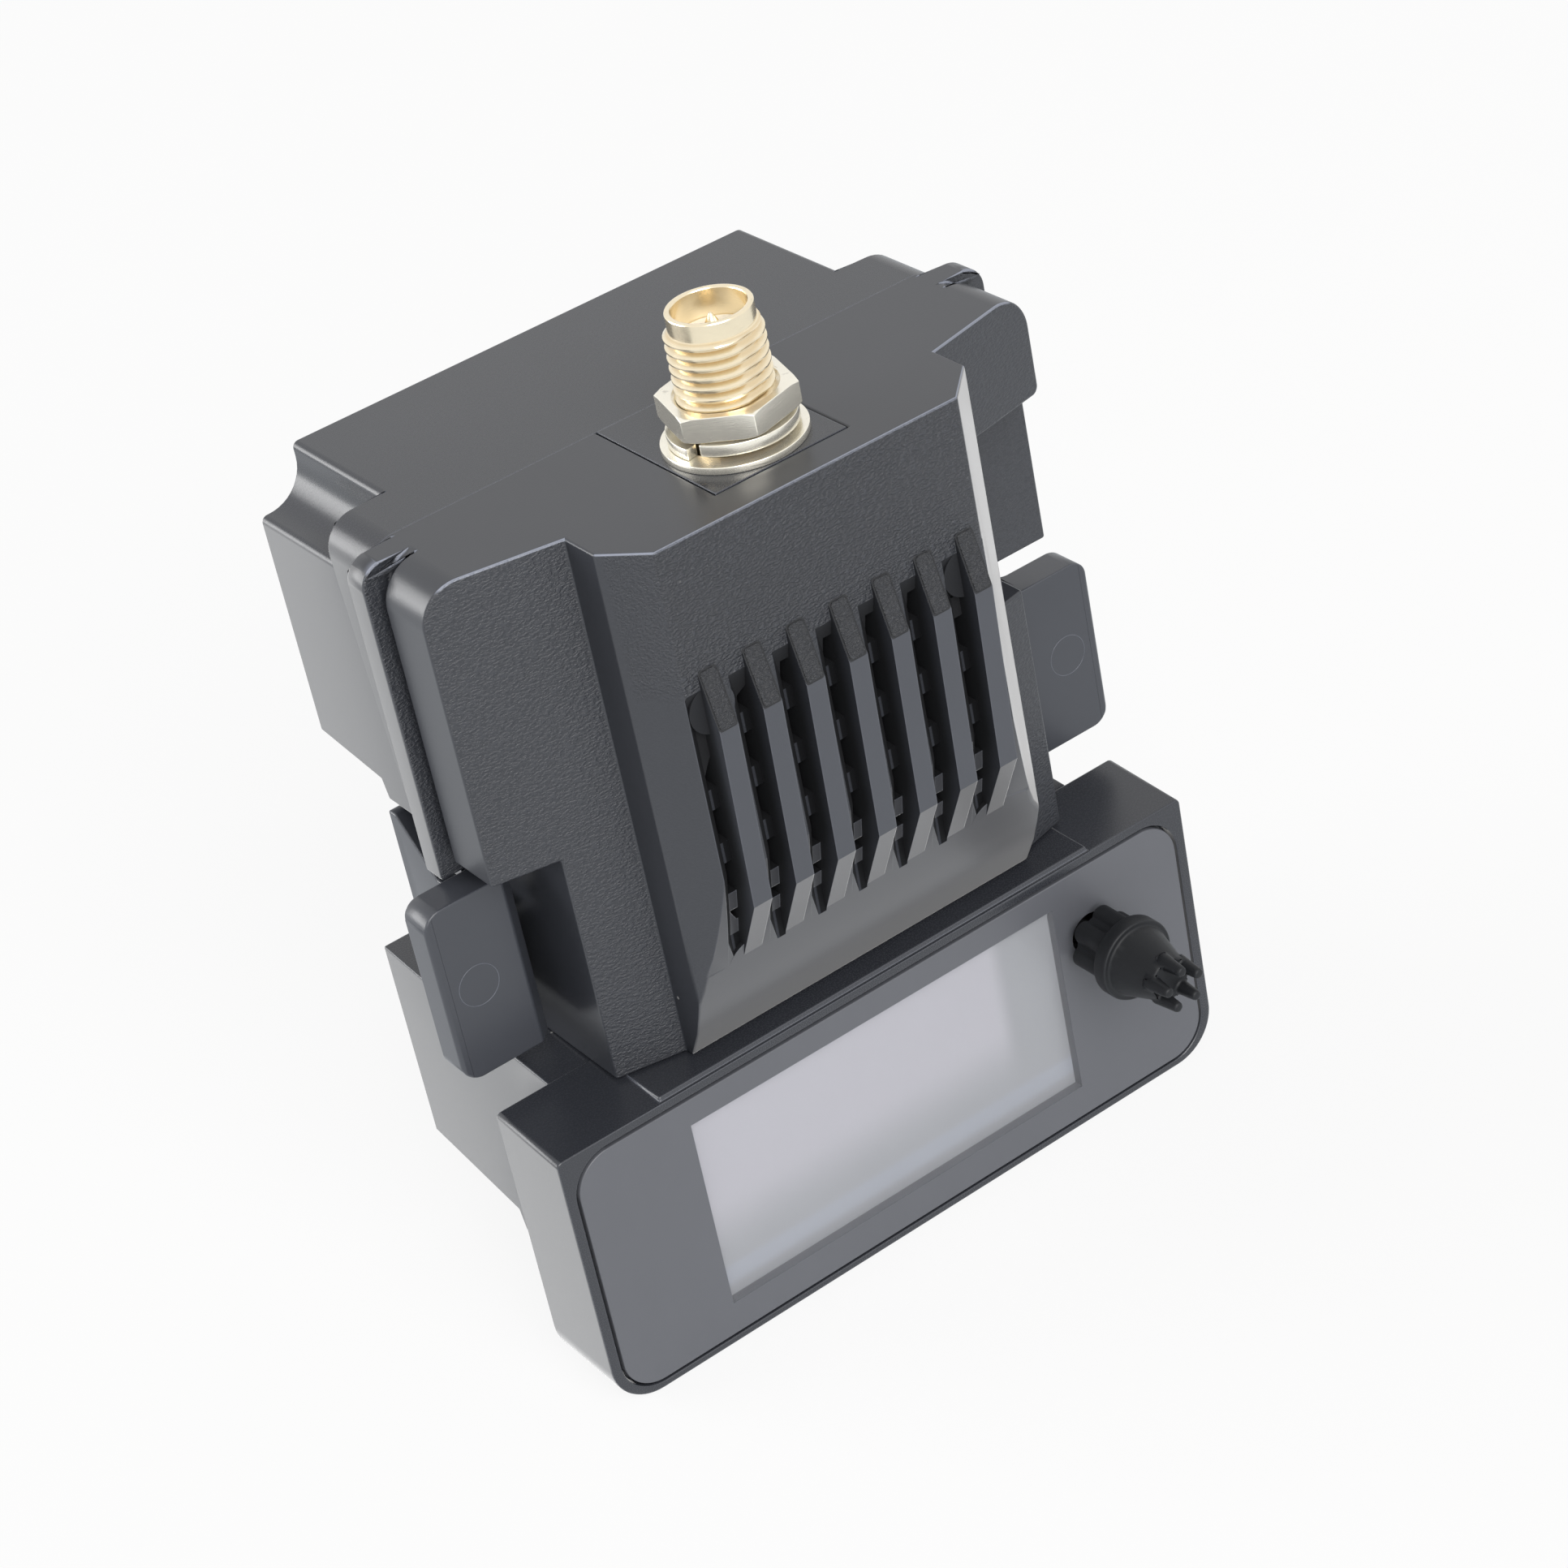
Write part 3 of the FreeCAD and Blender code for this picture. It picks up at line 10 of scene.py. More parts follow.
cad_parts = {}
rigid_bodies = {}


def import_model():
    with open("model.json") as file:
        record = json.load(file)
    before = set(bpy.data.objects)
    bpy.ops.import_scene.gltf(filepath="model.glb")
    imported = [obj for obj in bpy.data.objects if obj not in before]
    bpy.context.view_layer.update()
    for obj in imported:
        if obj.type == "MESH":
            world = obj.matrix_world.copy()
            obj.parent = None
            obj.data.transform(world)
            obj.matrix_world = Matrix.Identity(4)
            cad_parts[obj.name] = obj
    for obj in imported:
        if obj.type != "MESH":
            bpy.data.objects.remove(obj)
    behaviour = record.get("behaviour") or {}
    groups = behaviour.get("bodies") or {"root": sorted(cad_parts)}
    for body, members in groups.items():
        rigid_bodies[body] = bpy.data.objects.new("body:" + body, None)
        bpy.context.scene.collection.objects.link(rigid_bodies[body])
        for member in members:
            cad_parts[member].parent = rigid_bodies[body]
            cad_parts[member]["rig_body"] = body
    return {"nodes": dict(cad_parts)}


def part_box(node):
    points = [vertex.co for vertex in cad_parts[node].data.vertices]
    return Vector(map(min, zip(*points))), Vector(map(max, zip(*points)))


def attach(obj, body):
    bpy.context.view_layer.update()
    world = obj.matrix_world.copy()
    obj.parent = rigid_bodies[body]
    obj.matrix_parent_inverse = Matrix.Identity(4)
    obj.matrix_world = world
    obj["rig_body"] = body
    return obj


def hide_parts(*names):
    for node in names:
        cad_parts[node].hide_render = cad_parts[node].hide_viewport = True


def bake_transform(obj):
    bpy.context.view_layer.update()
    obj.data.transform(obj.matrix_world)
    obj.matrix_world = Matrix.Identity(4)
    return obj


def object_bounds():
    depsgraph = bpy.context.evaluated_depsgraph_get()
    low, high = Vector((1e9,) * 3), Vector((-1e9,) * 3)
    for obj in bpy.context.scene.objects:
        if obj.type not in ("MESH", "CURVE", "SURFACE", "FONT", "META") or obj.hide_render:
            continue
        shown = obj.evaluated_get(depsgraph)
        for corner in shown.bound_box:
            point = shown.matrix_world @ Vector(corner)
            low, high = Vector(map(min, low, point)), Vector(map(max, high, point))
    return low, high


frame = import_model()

bl_info = {
    "name": "Plug-in Radio Module",
    "version": (1, 0, 0),
    "blender": (4, 5, 0),
    "location": "View3D > Sidebar > Radio Module",
    "description": "Finishes the plug-in radio module: edges, thread, screen, materials, stage",
    "category": "Object",
}

MM = 0.001
UP = Vector((0, 0, 1))
CAD_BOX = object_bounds()
PARTING = ((-40, 2.8, -1), (40, 3.3, 80))     # mm, where the front cover meets the rear housing


def span(node):
    """Lowest corner, highest corner and middle of a node."""
    low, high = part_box(node)
    return low, high, (low + high) / 2


# ------------ settings

def colour_setting(name, description, default):
    return FloatVectorProperty(name=name, description=description, default=default,
                               subtype="COLOR", size=3, min=0, max=1)


def length_setting(name, description, default):
    return FloatProperty(name=name, description=description, default=default,
                         subtype="DISTANCE", unit="LENGTH", min=0, precision=5)


def share_setting(name, description, default, highest=1.0):
    return FloatProperty(name=name, description=description, default=default,
                         subtype="FACTOR", min=0, max=highest)


class RADIO_PG_finishes(bpy.types.PropertyGroup):
    plastic: colour_setting("Case plastic", "Charcoal of the moulded case", (0.030, 0.0325, 0.0395))
    plastic_roughness: share_setting("Case roughness", "Roughness of smooth moulded faces", 0.30)
    cap: colour_setting("Joystick cap", "Black of the joystick", (0.010, 0.011, 0.013))
    panel: colour_setting("Screen panel", "Satin grey of the screen panel", (0.105, 0.110, 0.125))
    film: colour_setting("Display film", "Pale film of the unlit display", (0.425, 0.421, 0.466))
    film_edge: colour_setting("Display margin", "Grey beside the film", (0.292, 0.303, 0.324))
    gold: colour_setting("Gold plating", "Plating of the antenna socket", (0.90, 0.79, 0.58))
    pale_gold: colour_setting("Pale gold", "Plating of nut and washers", (0.93, 0.89, 0.78))
    board: colour_setting("Circuit board", "Solder mask of the boards", (0.010, 0.045, 0.022))
    steel: colour_setting("Steel", "Springs and guide pins", (0.52, 0.53, 0.55))
    # Level of the painted highlight that lightens edges, standing in for the light they catch.
    edge_highlight_level: share_setting("Edge shine", "How much the rubbed edges lighten", 0.5)


class RADIO_PG_edges(bpy.types.PropertyGroup):
    cover: length_setting("Cover edge", "Rounding of the front cover's edges", 0.17 * MM)
    housing: length_setting("Housing edge", "Rounding of the housings' edges", 0.15 * MM)
    panel: length_setting("Panel edge", "Rounding of the screen panel's edge", 0.10 * MM)
    metal: length_setting("Metal edge", "Rounding of nut and washers", 0.05 * MM)
    segments: IntProperty(name="Edge segments", description="Faces across a rounded edge",
                          default=2, min=1, max=6)


class RADIO_PG_antenna(bpy.types.PropertyGroup):
    pitch: length_setting("Thread pitch", "1/4-36 thread", 0.7056 * MM)
    depth: length_setting("Thread depth", "Crest to root", 0.375 * MM)
    turns: IntProperty(name="Turns", description="Turns of thread above and inside the nut",
                       default=7, min=1)
    steps: IntProperty(name="Steps a turn", description="Segments in one turn of the thread",
                       default=48, min=12)


class RADIO_PG_stage(bpy.types.PropertyGroup):
    lens: FloatProperty(name="Lens", description="Focal length in mm, on a 36 mm sensor",
                        default=89.089, min=1)
    key: share_setting("Key lamp", "Level of the front lamp", 0.95, 4)
    back: share_setting("Back lamp", "Level of the lamp behind on the left", 1.0, 4)
    ambient: share_setting("Ambient", "Level of the even light from all round", 0.35, 4)
    shadow: share_setting("Floor shadow", "How strongly the floor shows the shadow", 0.14)


def chosen(context):
    """The finishes and the edges set in the scene."""
    return context.scene.radio_finishes, context.scene.radio_edges


# ------------ finishes

class Nodes:
    """A node tree while it is put together."""

    def __init__(self, tree):
        self.tree = tree

    def node(self, kind, sockets=None, **settings):
        """A new node; each of its sockets takes a value or another node's socket."""
        made = self.tree.nodes.new(kind)
        for setting, value in settings.items():
            setattr(made, setting, value)
        for socket, value in (sockets or {}).items():
            self.feed(value, made.inputs[socket])
        return made

    def join(self, source, target):
        self.tree.links.new(source, target)

    def feed(self, value, target):
        """Links a socket, or sets a plain value."""
        if isinstance(value, bpy.types.NodeSocket):
            self.join(value, target)
        else:
            target.default_value = value

    def math(self, operation, first, second=0.0):
        return self.node("ShaderNodeMath", {0: first, 1: second}, operation=operation).outputs[0]

    def times(self, first, second):
        return self.math("MULTIPLY", first, second)

    def rise(self, value, start, end):
        """0 before start and 1 past end, smooth between."""
        sockets = {"Value": value, "From Min": start, "From Max": end}
        return self.node("ShaderNodeMapRange", sockets,
                         interpolation_type="SMOOTHSTEP").outputs["Result"]

    def between(self, factor, low, high):
        """A number that runs from low to high as factor runs from 0 to 1."""
        sockets = {"Value": factor, "To Min": low, "To Max": high}
        return self.node("ShaderNodeMapRange", sockets).outputs["Result"]


class Recipe(Nodes):
    """A material's nodes around one Principled shader, whose own sockets take values."""

    def __init__(self, name, **values):
        self.material = bpy.data.materials.new(name)
        self.material.use_nodes = True
        super().__init__(self.material.node_tree)
        self.tree.nodes.clear()
        self.shader = self.node("ShaderNodeBsdfPrincipled")
        self.output = self.node("ShaderNodeOutputMaterial", {"Surface": self.shader.outputs[0]})
        self.place = self.node("ShaderNodeTexCoord")
        for socket, value in values.items():
            self.shader.inputs[socket.replace("_", " ")].default_value = value

    def position(self):
        """The X, Y and Z of a point of the surface, in metres."""
        return self.node("ShaderNodeSeparateXYZ", {0: self.place.outputs["Object"]}).outputs

    def facing(self):
        """The X, Y and Z of the way that the surface faces."""
        return self.node("ShaderNodeSeparateXYZ", {0: self.place.outputs["Normal"]}).outputs

    def stretched(self, scale=(1, 1, 1), turn=(0, 0, 0)):
        sockets = {"Vector": self.place.outputs["Object"], "Scale": scale, "Rotation": turn}
        return self.node("ShaderNodeMapping", sockets).outputs["Vector"]

    def noise(self, density, detail=3.0, roughness=0.5, **mapping):
        sockets = {"Vector": self.stretched(**mapping), "Scale": density, "Detail": detail,
                   "Roughness": roughness}
        return self.node("ShaderNodeTexNoise", sockets).outputs["Fac"]

    def cells(self, density, feature="F1", randomness=1.0, **mapping):
        sockets = {"Vector": self.stretched(**mapping), "Scale": density,
                   "Randomness": randomness}
        return self.node("ShaderNodeTexVoronoi", sockets, feature=feature).outputs["Distance"]

    def mix(self, factor, first, second):
        """The first colour where factor is 0 and the second where it is 1."""
        first, second = (value if isinstance(value, bpy.types.NodeSocket) else (*value[:3], 1)
                         for value in (first, second))
        return self.node("ShaderNodeMix", {0: factor, 6: first, 7: second},
                         data_type="RGBA").outputs[2]

    def bump(self, height, depth, strength, under=None):
        sockets = {"Height": height, "Strength": strength, "Distance": depth}
        if under is not None:
            sockets["Normal"] = under
        return self.node("ShaderNodeBump", sockets).outputs["Normal"]

    def softened(self, radius):
        """The surface's direction with its edges eased."""
        return self.node("ShaderNodeBevel", {"Radius": radius}, samples=6).outputs["Normal"]

    def edges(self, radius):
        """1 along edges and 0 on open faces."""
        surface = self.node("ShaderNodeNewGeometry").outputs["True Normal"]
        turn = self.node("ShaderNodeVectorMath", {0: self.softened(radius), 1: surface},
                         operation="DOT_PRODUCT").outputs["Value"]
        return self.rise(self.math("SUBTRACT", 1.0, turn), 0.01, 0.25)

    def finish(self, colour=None, roughness=None, normal=None, alpha=None):
        for socket, value in (("Base Color", colour), ("Roughness", roughness),
                              ("Normal", normal), ("Alpha", alpha)):
            if value is not None:
                self.join(value, self.shader.inputs[socket])
        return self.material


def shade(colour, factor):
    """A colour darker or paler by a factor."""
    return tuple(channel * factor for channel in colour)


def lightened(colour, factor):
    """A paler shade, white at most."""
    return tuple(min(1, channel * factor) for channel in colour)


def moulded(name, colour, roughness, edge_highlight_level, grain=0.35, mask=None, dust=0.0, outline=6.0,
            gloss_level=0.58, sheen=0.0, crest=None):
    """Moulded plastic: fine even grain, faint flow clouds, painted highlights along the edges and
    dust.

    mask says where the coarse spark grain shows, outline how pale the painted edge highlights get,
    dust how large the specks are, and crest is the height of a top edge that gets a pale painted
    highlight.
    """
    recipe = Recipe(name, Specular_IOR_Level=gloss_level, Sheen_Weight=sheen, Sheen_Roughness=0.4)
    clouds = recipe.noise(90, 4)
    fine = recipe.noise(9000, 2)
    tone = recipe.mix(clouds, shade(colour, 0.88), shade(colour, 1.14))
    # Painted highlight: edges are lightened to stand in for the light they catch.
    painted_edge_highlight = recipe.times(recipe.edges(0.22 * MM), edge_highlight_level * 1.4)
    tone = recipe.mix(painted_edge_highlight, tone, shade(colour, outline))
    # Painted highlight: a pale line along the top edge, where light catches it.
    if crest is not None:
        height, way = recipe.position()["Z"], recipe.facing()
        corner = recipe.times(recipe.times(way["Y"], -1.0), way["Z"])
        painted_top_highlight = recipe.times(recipe.rise(corner, 0.06, 0.3),
                              recipe.rise(height, crest - 0.6 * MM, crest - 0.3 * MM))
        tone = recipe.mix(painted_top_highlight, tone, shade(colour, 9))
    gloss = recipe.between(fine, roughness - 0.05, roughness + 0.07)
    normal = recipe.bump(fine, 0.012 * MM, grain, recipe.softened(0.1 * MM))
    if mask is not None:
        streaks = recipe.noise(6200, 3, 0.55, scale=(0.5, 1, 1))
        shown = mask(recipe)
        spark = recipe.rise(streaks, 0.36, 0.66)
        normal = recipe.bump(spark, 0.09 * MM, recipe.times(shown, 0.9), normal)
        speckled = recipe.mix(spark, shade(colour, 0.66), shade(colour, 1.42))
        tone = recipe.mix(recipe.times(shown, 0.5), tone, speckled)
        gloss = recipe.math("ADD", gloss, recipe.times(shown, 0.07))
    if dust:
        fleck = recipe.rise(recipe.cells(190), dust, dust * 0.5)
        tone = recipe.mix(fleck, tone, (0.34, 0.34, 0.33))
    return recipe.finish(tone, gloss, normal)


def case_plastic(name, finish, tint=1.0, rougher=0.0, **look):
    """The case's own plastic, in a tint of its colour and that much rougher."""
    return moulded(name, shade(finish.plastic, tint), finish.plastic_roughness + rougher,
                   finish.edge_highlight_level, **look)


def cover_grain_mask(recipe):
    """Front faces of the wings, faintly, and of the raised centre above the fins."""
    front = recipe.rise(recipe.times(recipe.facing()["Y"], -1.0), 0.5, 0.75)
    place = recipe.position()
    low, high, _ = span("front_cover")
    height = high.z - low.z
    above_fins = recipe.rise(place["Z"], high.z - 0.32 * height, high.z - 0.24 * height)
    on_wings = recipe.rise(recipe.math("ABSOLUTE", place["X"]), 13.6 * MM, 14.2 * MM)
    above_fins = recipe.times(above_fins, recipe.math("SUBTRACT", 1.0, on_wings))
    return recipe.times(front, recipe.math("MAXIMUM", above_fins,
                                           recipe.between(on_wings, 0.3, 0.5)))


def everywhere(recipe):
    """The mask of a piece that is grained all over."""
    return 1.0


def satin_panel(name, colour, edge_highlight_level):
    """Smooth printed panel with a fine even tooth and faint handling marks."""
    recipe = Recipe(name, Specular_IOR_Level=0.5, Coat_Weight=0.15, Coat_Roughness=0.3)
    tooth = recipe.noise(14000, 2)
    smears = recipe.noise(160, 5, 0.65, scale=(1, 1, 0.5), turn=(0, 0.6, 0))
    tone = recipe.mix(smears, shade(colour, 0.93), shade(colour, 1.07))
    # Painted highlight: edges are lightened to stand in for the light they catch.
    painted_edge_highlight = recipe.times(recipe.edges(0.1 * MM), edge_highlight_level * 0.5)
    tone = recipe.mix(painted_edge_highlight, tone, shade(colour, 1.9))
    gloss = recipe.between(smears, 0.34, 0.46)
    return recipe.finish(tone, gloss, recipe.bump(tooth, 0.006 * MM, 0.3))


def thread_root_shade(recipe):
    """The grooves of the thread on the antenna jack, below its plain end, which get painted shade.
    """
    _, high, middle = span("jack_body")
    x, y, z = recipe.position()
    off = recipe.math("SUBTRACT", y, middle.y)
    reach = recipe.math("SQRT", recipe.math("ADD", recipe.times(x, x), recipe.times(off, off)))
    root = recipe.times(recipe.rise(reach, 2.77 * MM, 2.81 * MM),
                        recipe.rise(reach, 3.12 * MM, 2.88 * MM))
    return recipe.times(root, recipe.rise(z, high.z - 1.2 * MM, high.z - 1.3 * MM))


def plated(name, colour, roughness, lines=(1, 1, 40), painted_groove_shade=None, metal=0.92):
    """Bright plating over turned metal: lines stretches the tool marks, valley marks grooves
    darkened with painted shade.
    """
    recipe = Recipe(name, Metallic=metal)
    marks = recipe.noise(900, 3, 0.6, scale=lines)
    clouds = recipe.noise(500, 3)
    tone = recipe.mix(clouds, shade(colour, 0.90), lightened(colour, 1.08))
    tone = recipe.mix(recipe.rise(marks, 0.62, 0.75), tone, shade(colour, 0.72))
    if painted_groove_shade is not None:
        # Painted shade: the thread's grooves are darkened to brown.
        tone = recipe.mix(recipe.times(painted_groove_shade(recipe), 0.55), tone, (0.66, 0.48, 0.25))
    gloss = recipe.between(marks, roughness - 0.05, roughness + 0.10)
    return recipe.finish(tone, gloss, recipe.bump(marks, 0.006 * MM, 0.5))


def clear_window(name):
    """Clear window: nearly invisible, with a soft reflection and faint dust."""
    recipe = Recipe(name, Specular_IOR_Level=0.6, Base_Color=(0.75, 0.77, 0.82, 1))
    haze = recipe.noise(220, 4, 0.6)
    alpha = recipe.between(haze, 0.05, 0.11)
    return recipe.finish(roughness=recipe.between(haze, 0.06, 0.14), alpha=alpha)


def display_stack(name, film, margin):
    """Unlit display: pale film that fades to grey at the right and in bands at the bottom."""
    recipe = Recipe(name, Specular_IOR_Level=0.4)
    x, _, z = recipe.position()
    low, high, _ = span("display_glass")
    tone = film
    for along, start, end, colour in (
            (z, low.z + 8.2 * MM, low.z + 2.8 * MM, margin),
            (x, high.x - 5.6 * MM, high.x - 4.0 * MM, margin),
            (x, high.x - 3.2 * MM, high.x, shade(margin, 0.95)),
            (z, low.z + 2.7 * MM, low.z + 2.1 * MM, (0.305, 0.325, 0.372)),
            (z, low.z + 1.3 * MM, low.z + 0.6 * MM, shade(margin, 0.92))):
        tone = recipe.mix(recipe.rise(along, start, end), tone, colour)
    weave = recipe.noise(9000, 2)
    tone = recipe.mix(recipe.between(weave, 0.0, 0.04), tone, shade(film, 0.7))
    front = recipe.rise(recipe.times(recipe.facing()["Y"], -1.0), 0.6, 0.9)
    tone = recipe.mix(front, (0.03, 0.03, 0.035), tone)
    return recipe.finish(tone, recipe.between(weave, 0.3, 0.42),
                         recipe.bump(weave, 0.004 * MM, 0.3))


def circuit_board(name, mask_colour):
    """Solder mask over copper tracks, with rows of plated holes."""
    recipe = Recipe(name, Specular_IOR_Level=0.5, Coat_Weight=0.3, Coat_Roughness=0.15)
    tracks = recipe.cells(420, "DISTANCE_TO_EDGE", 0.55, scale=(1, 0.05, 1))
    copper = recipe.rise(tracks, 0.10, 0.06)
    holes = recipe.cells(394, "F1", 0.0, scale=(1, 0.05, 1))
    plating = recipe.rise(holes, 0.12, 0.09)
    tone = recipe.mix(copper, mask_colour, shade(mask_colour, 2.4))
    tone = recipe.mix(recipe.times(plating, 0.7), tone, (0.55, 0.48, 0.30))
    weave = recipe.noise(5000, 2)
    return recipe.finish(tone, recipe.between(weave, 0.3, 0.45),
                         recipe.bump(copper, 0.02 * MM, 0.4))


def plain_part(name, colour, roughness, metallic=0.0, grain=4000.0, stretch=(1, 1, 1), spread=0.15):
    """Small parts: tone and gloss vary with a fine noise that follows how the piece is made."""
    recipe = Recipe(name, Metallic=metallic)
    fine = recipe.noise(grain, 3, 0.55, scale=stretch)
    broad = recipe.noise(grain / 12, 3)
    tone = recipe.mix(broad, shade(colour, 1 - spread), lightened(colour, 1 + spread))
    tone = recipe.mix(recipe.rise(fine, 0.58, 0.78), tone, shade(colour, 0.8))
    return recipe.finish(tone, recipe.between(fine, roughness - 0.06, roughness + 0.08),
                         recipe.bump(fine, 0.01 * MM, 0.4))


# ------------ shaping

def face_out(bm):
    bmesh.ops.recalc_face_normals(bm, faces=bm.faces)


def round_off(bm, edges, width, segments, **settings):
    bmesh.ops.bevel(bm, geom=edges, affect="EDGES", offset=width, segments=segments, profile=0.5,
                    material=-1, **settings)


def new_object(name, data):
    """An object in the scene, at the origin."""
    made = bpy.data.objects.new(name, data)
    bpy.context.scene.collection.objects.link(made)
    return made


def only(kind, geometry):
    return [item for item in geometry if isinstance(item, kind)]


def piece_from(bm, name, material, body, smooth=True):
    """A finished object from a bmesh, riding on a body."""
    mesh = bpy.data.meshes.new(name)
    bm.to_mesh(mesh)
    bm.free()
    mesh.materials.append(material)
    if smooth:
        mesh.shade_smooth()
    piece = new_object(name, mesh)
    if body:
        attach(piece, body)
    return piece


def even_normals(piece):
    """Large faces keep flat shading, and the rounded edges blend into them."""
    weighted = piece.modifiers.new("Even normals", "WEIGHTED_NORMAL")
    weighted.mode = "FACE_AREA"
    weighted.weight = 100
    weighted.keep_sharp = True


def within(point, box):
    low, high = box
    return all(low[i] < point[i] < high[i] for i in range(3))


def inside(edge, boxes):
    """Whether an edge's middle lies in one of the boxes."""
    middle = (edge.verts[0].co + edge.verts[1].co) / 2
    return any(within(middle, box) for box in boxes)


def dress(material, *nodes):
    """Gives CAD nodes their material."""
    for node in nodes:
        mesh = frame["nodes"][node].data
        mesh.materials.clear()
        mesh.materials.append(material)


def rounded_copy(node, name, material, width, least_angle=34, crisp=(), before=None,
                 after=None):
    """Stands for a CAD node, with its sharp edges rounded; both get the material.

    crisp lists boxes (low, high) in mm where edges stay sharp; before and after may change the
    shape, in mm, ahead of the rounding and past it.
    """
    tiny = 0.002                    # mm, corners this near are one
    straight = radians(0.8)         # faces this nearly level are one
    segments = chosen(bpy.context)[1].segments
    source = frame["nodes"][node]
    dress(material, node)
    bm = bmesh.new()
    bm.from_mesh(source.data)
    bmesh.ops.scale(bm, verts=bm.verts, vec=Vector((1, 1, 1)) / MM)
    bmesh.ops.remove_doubles(bm, verts=bm.verts, dist=tiny)
    bmesh.ops.dissolve_degenerate(bm, dist=tiny, edges=bm.edges)
    bmesh.ops.dissolve_limit(bm, angle_limit=straight, verts=bm.verts, edges=bm.edges)
    if before:
        before(bm)
    surface = BVHTree.FromBMesh(bm)
    sharp = [edge for edge in bm.edges
             if len(edge.link_faces) == 2 and edge.calc_face_angle(0) > radians(least_angle)
             and not inside(edge, crisp)]
    round_off(bm, sharp, width / MM, segments, clamp_overlap=False, loop_slide=True)
    for vert in bm.verts:
        nearest, _, _, distance = surface.find_nearest(vert.co)
        if distance > width / MM * 0.45:        # the rounding threw it off the surface
            vert.co = nearest
    for edge in bm.edges:
        flat_limit = radians(4 if inside(edge, crisp) else 50)
        edge.smooth = len(edge.link_faces) == 2 and edge.calc_face_angle(0) < flat_limit
    if after:
        after(bm)
    bmesh.ops.scale(bm, verts=bm.verts, vec=Vector((1, 1, 1)) * MM)
    piece = piece_from(bm, name, material, source["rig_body"])
    even_normals(piece)
    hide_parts(node)
    return piece


def lathe(bm, profile, centre, axis, steps):
    """Closed ring from (radius, height) corners turned about an axis through centre."""
    side = axis.orthogonal().normalized()
    corners = [bm.verts.new(centre + side * radius + axis * height) for radius, height in profile]
    rim = [bm.edges.new((corners[i - 1], corners[i])) for i in range(len(corners))]
    bmesh.ops.spin(bm, geom=corners + rim, cent=centre, axis=axis, angle=2 * pi, steps=steps,
                   use_merge=True)


# ------------ operators

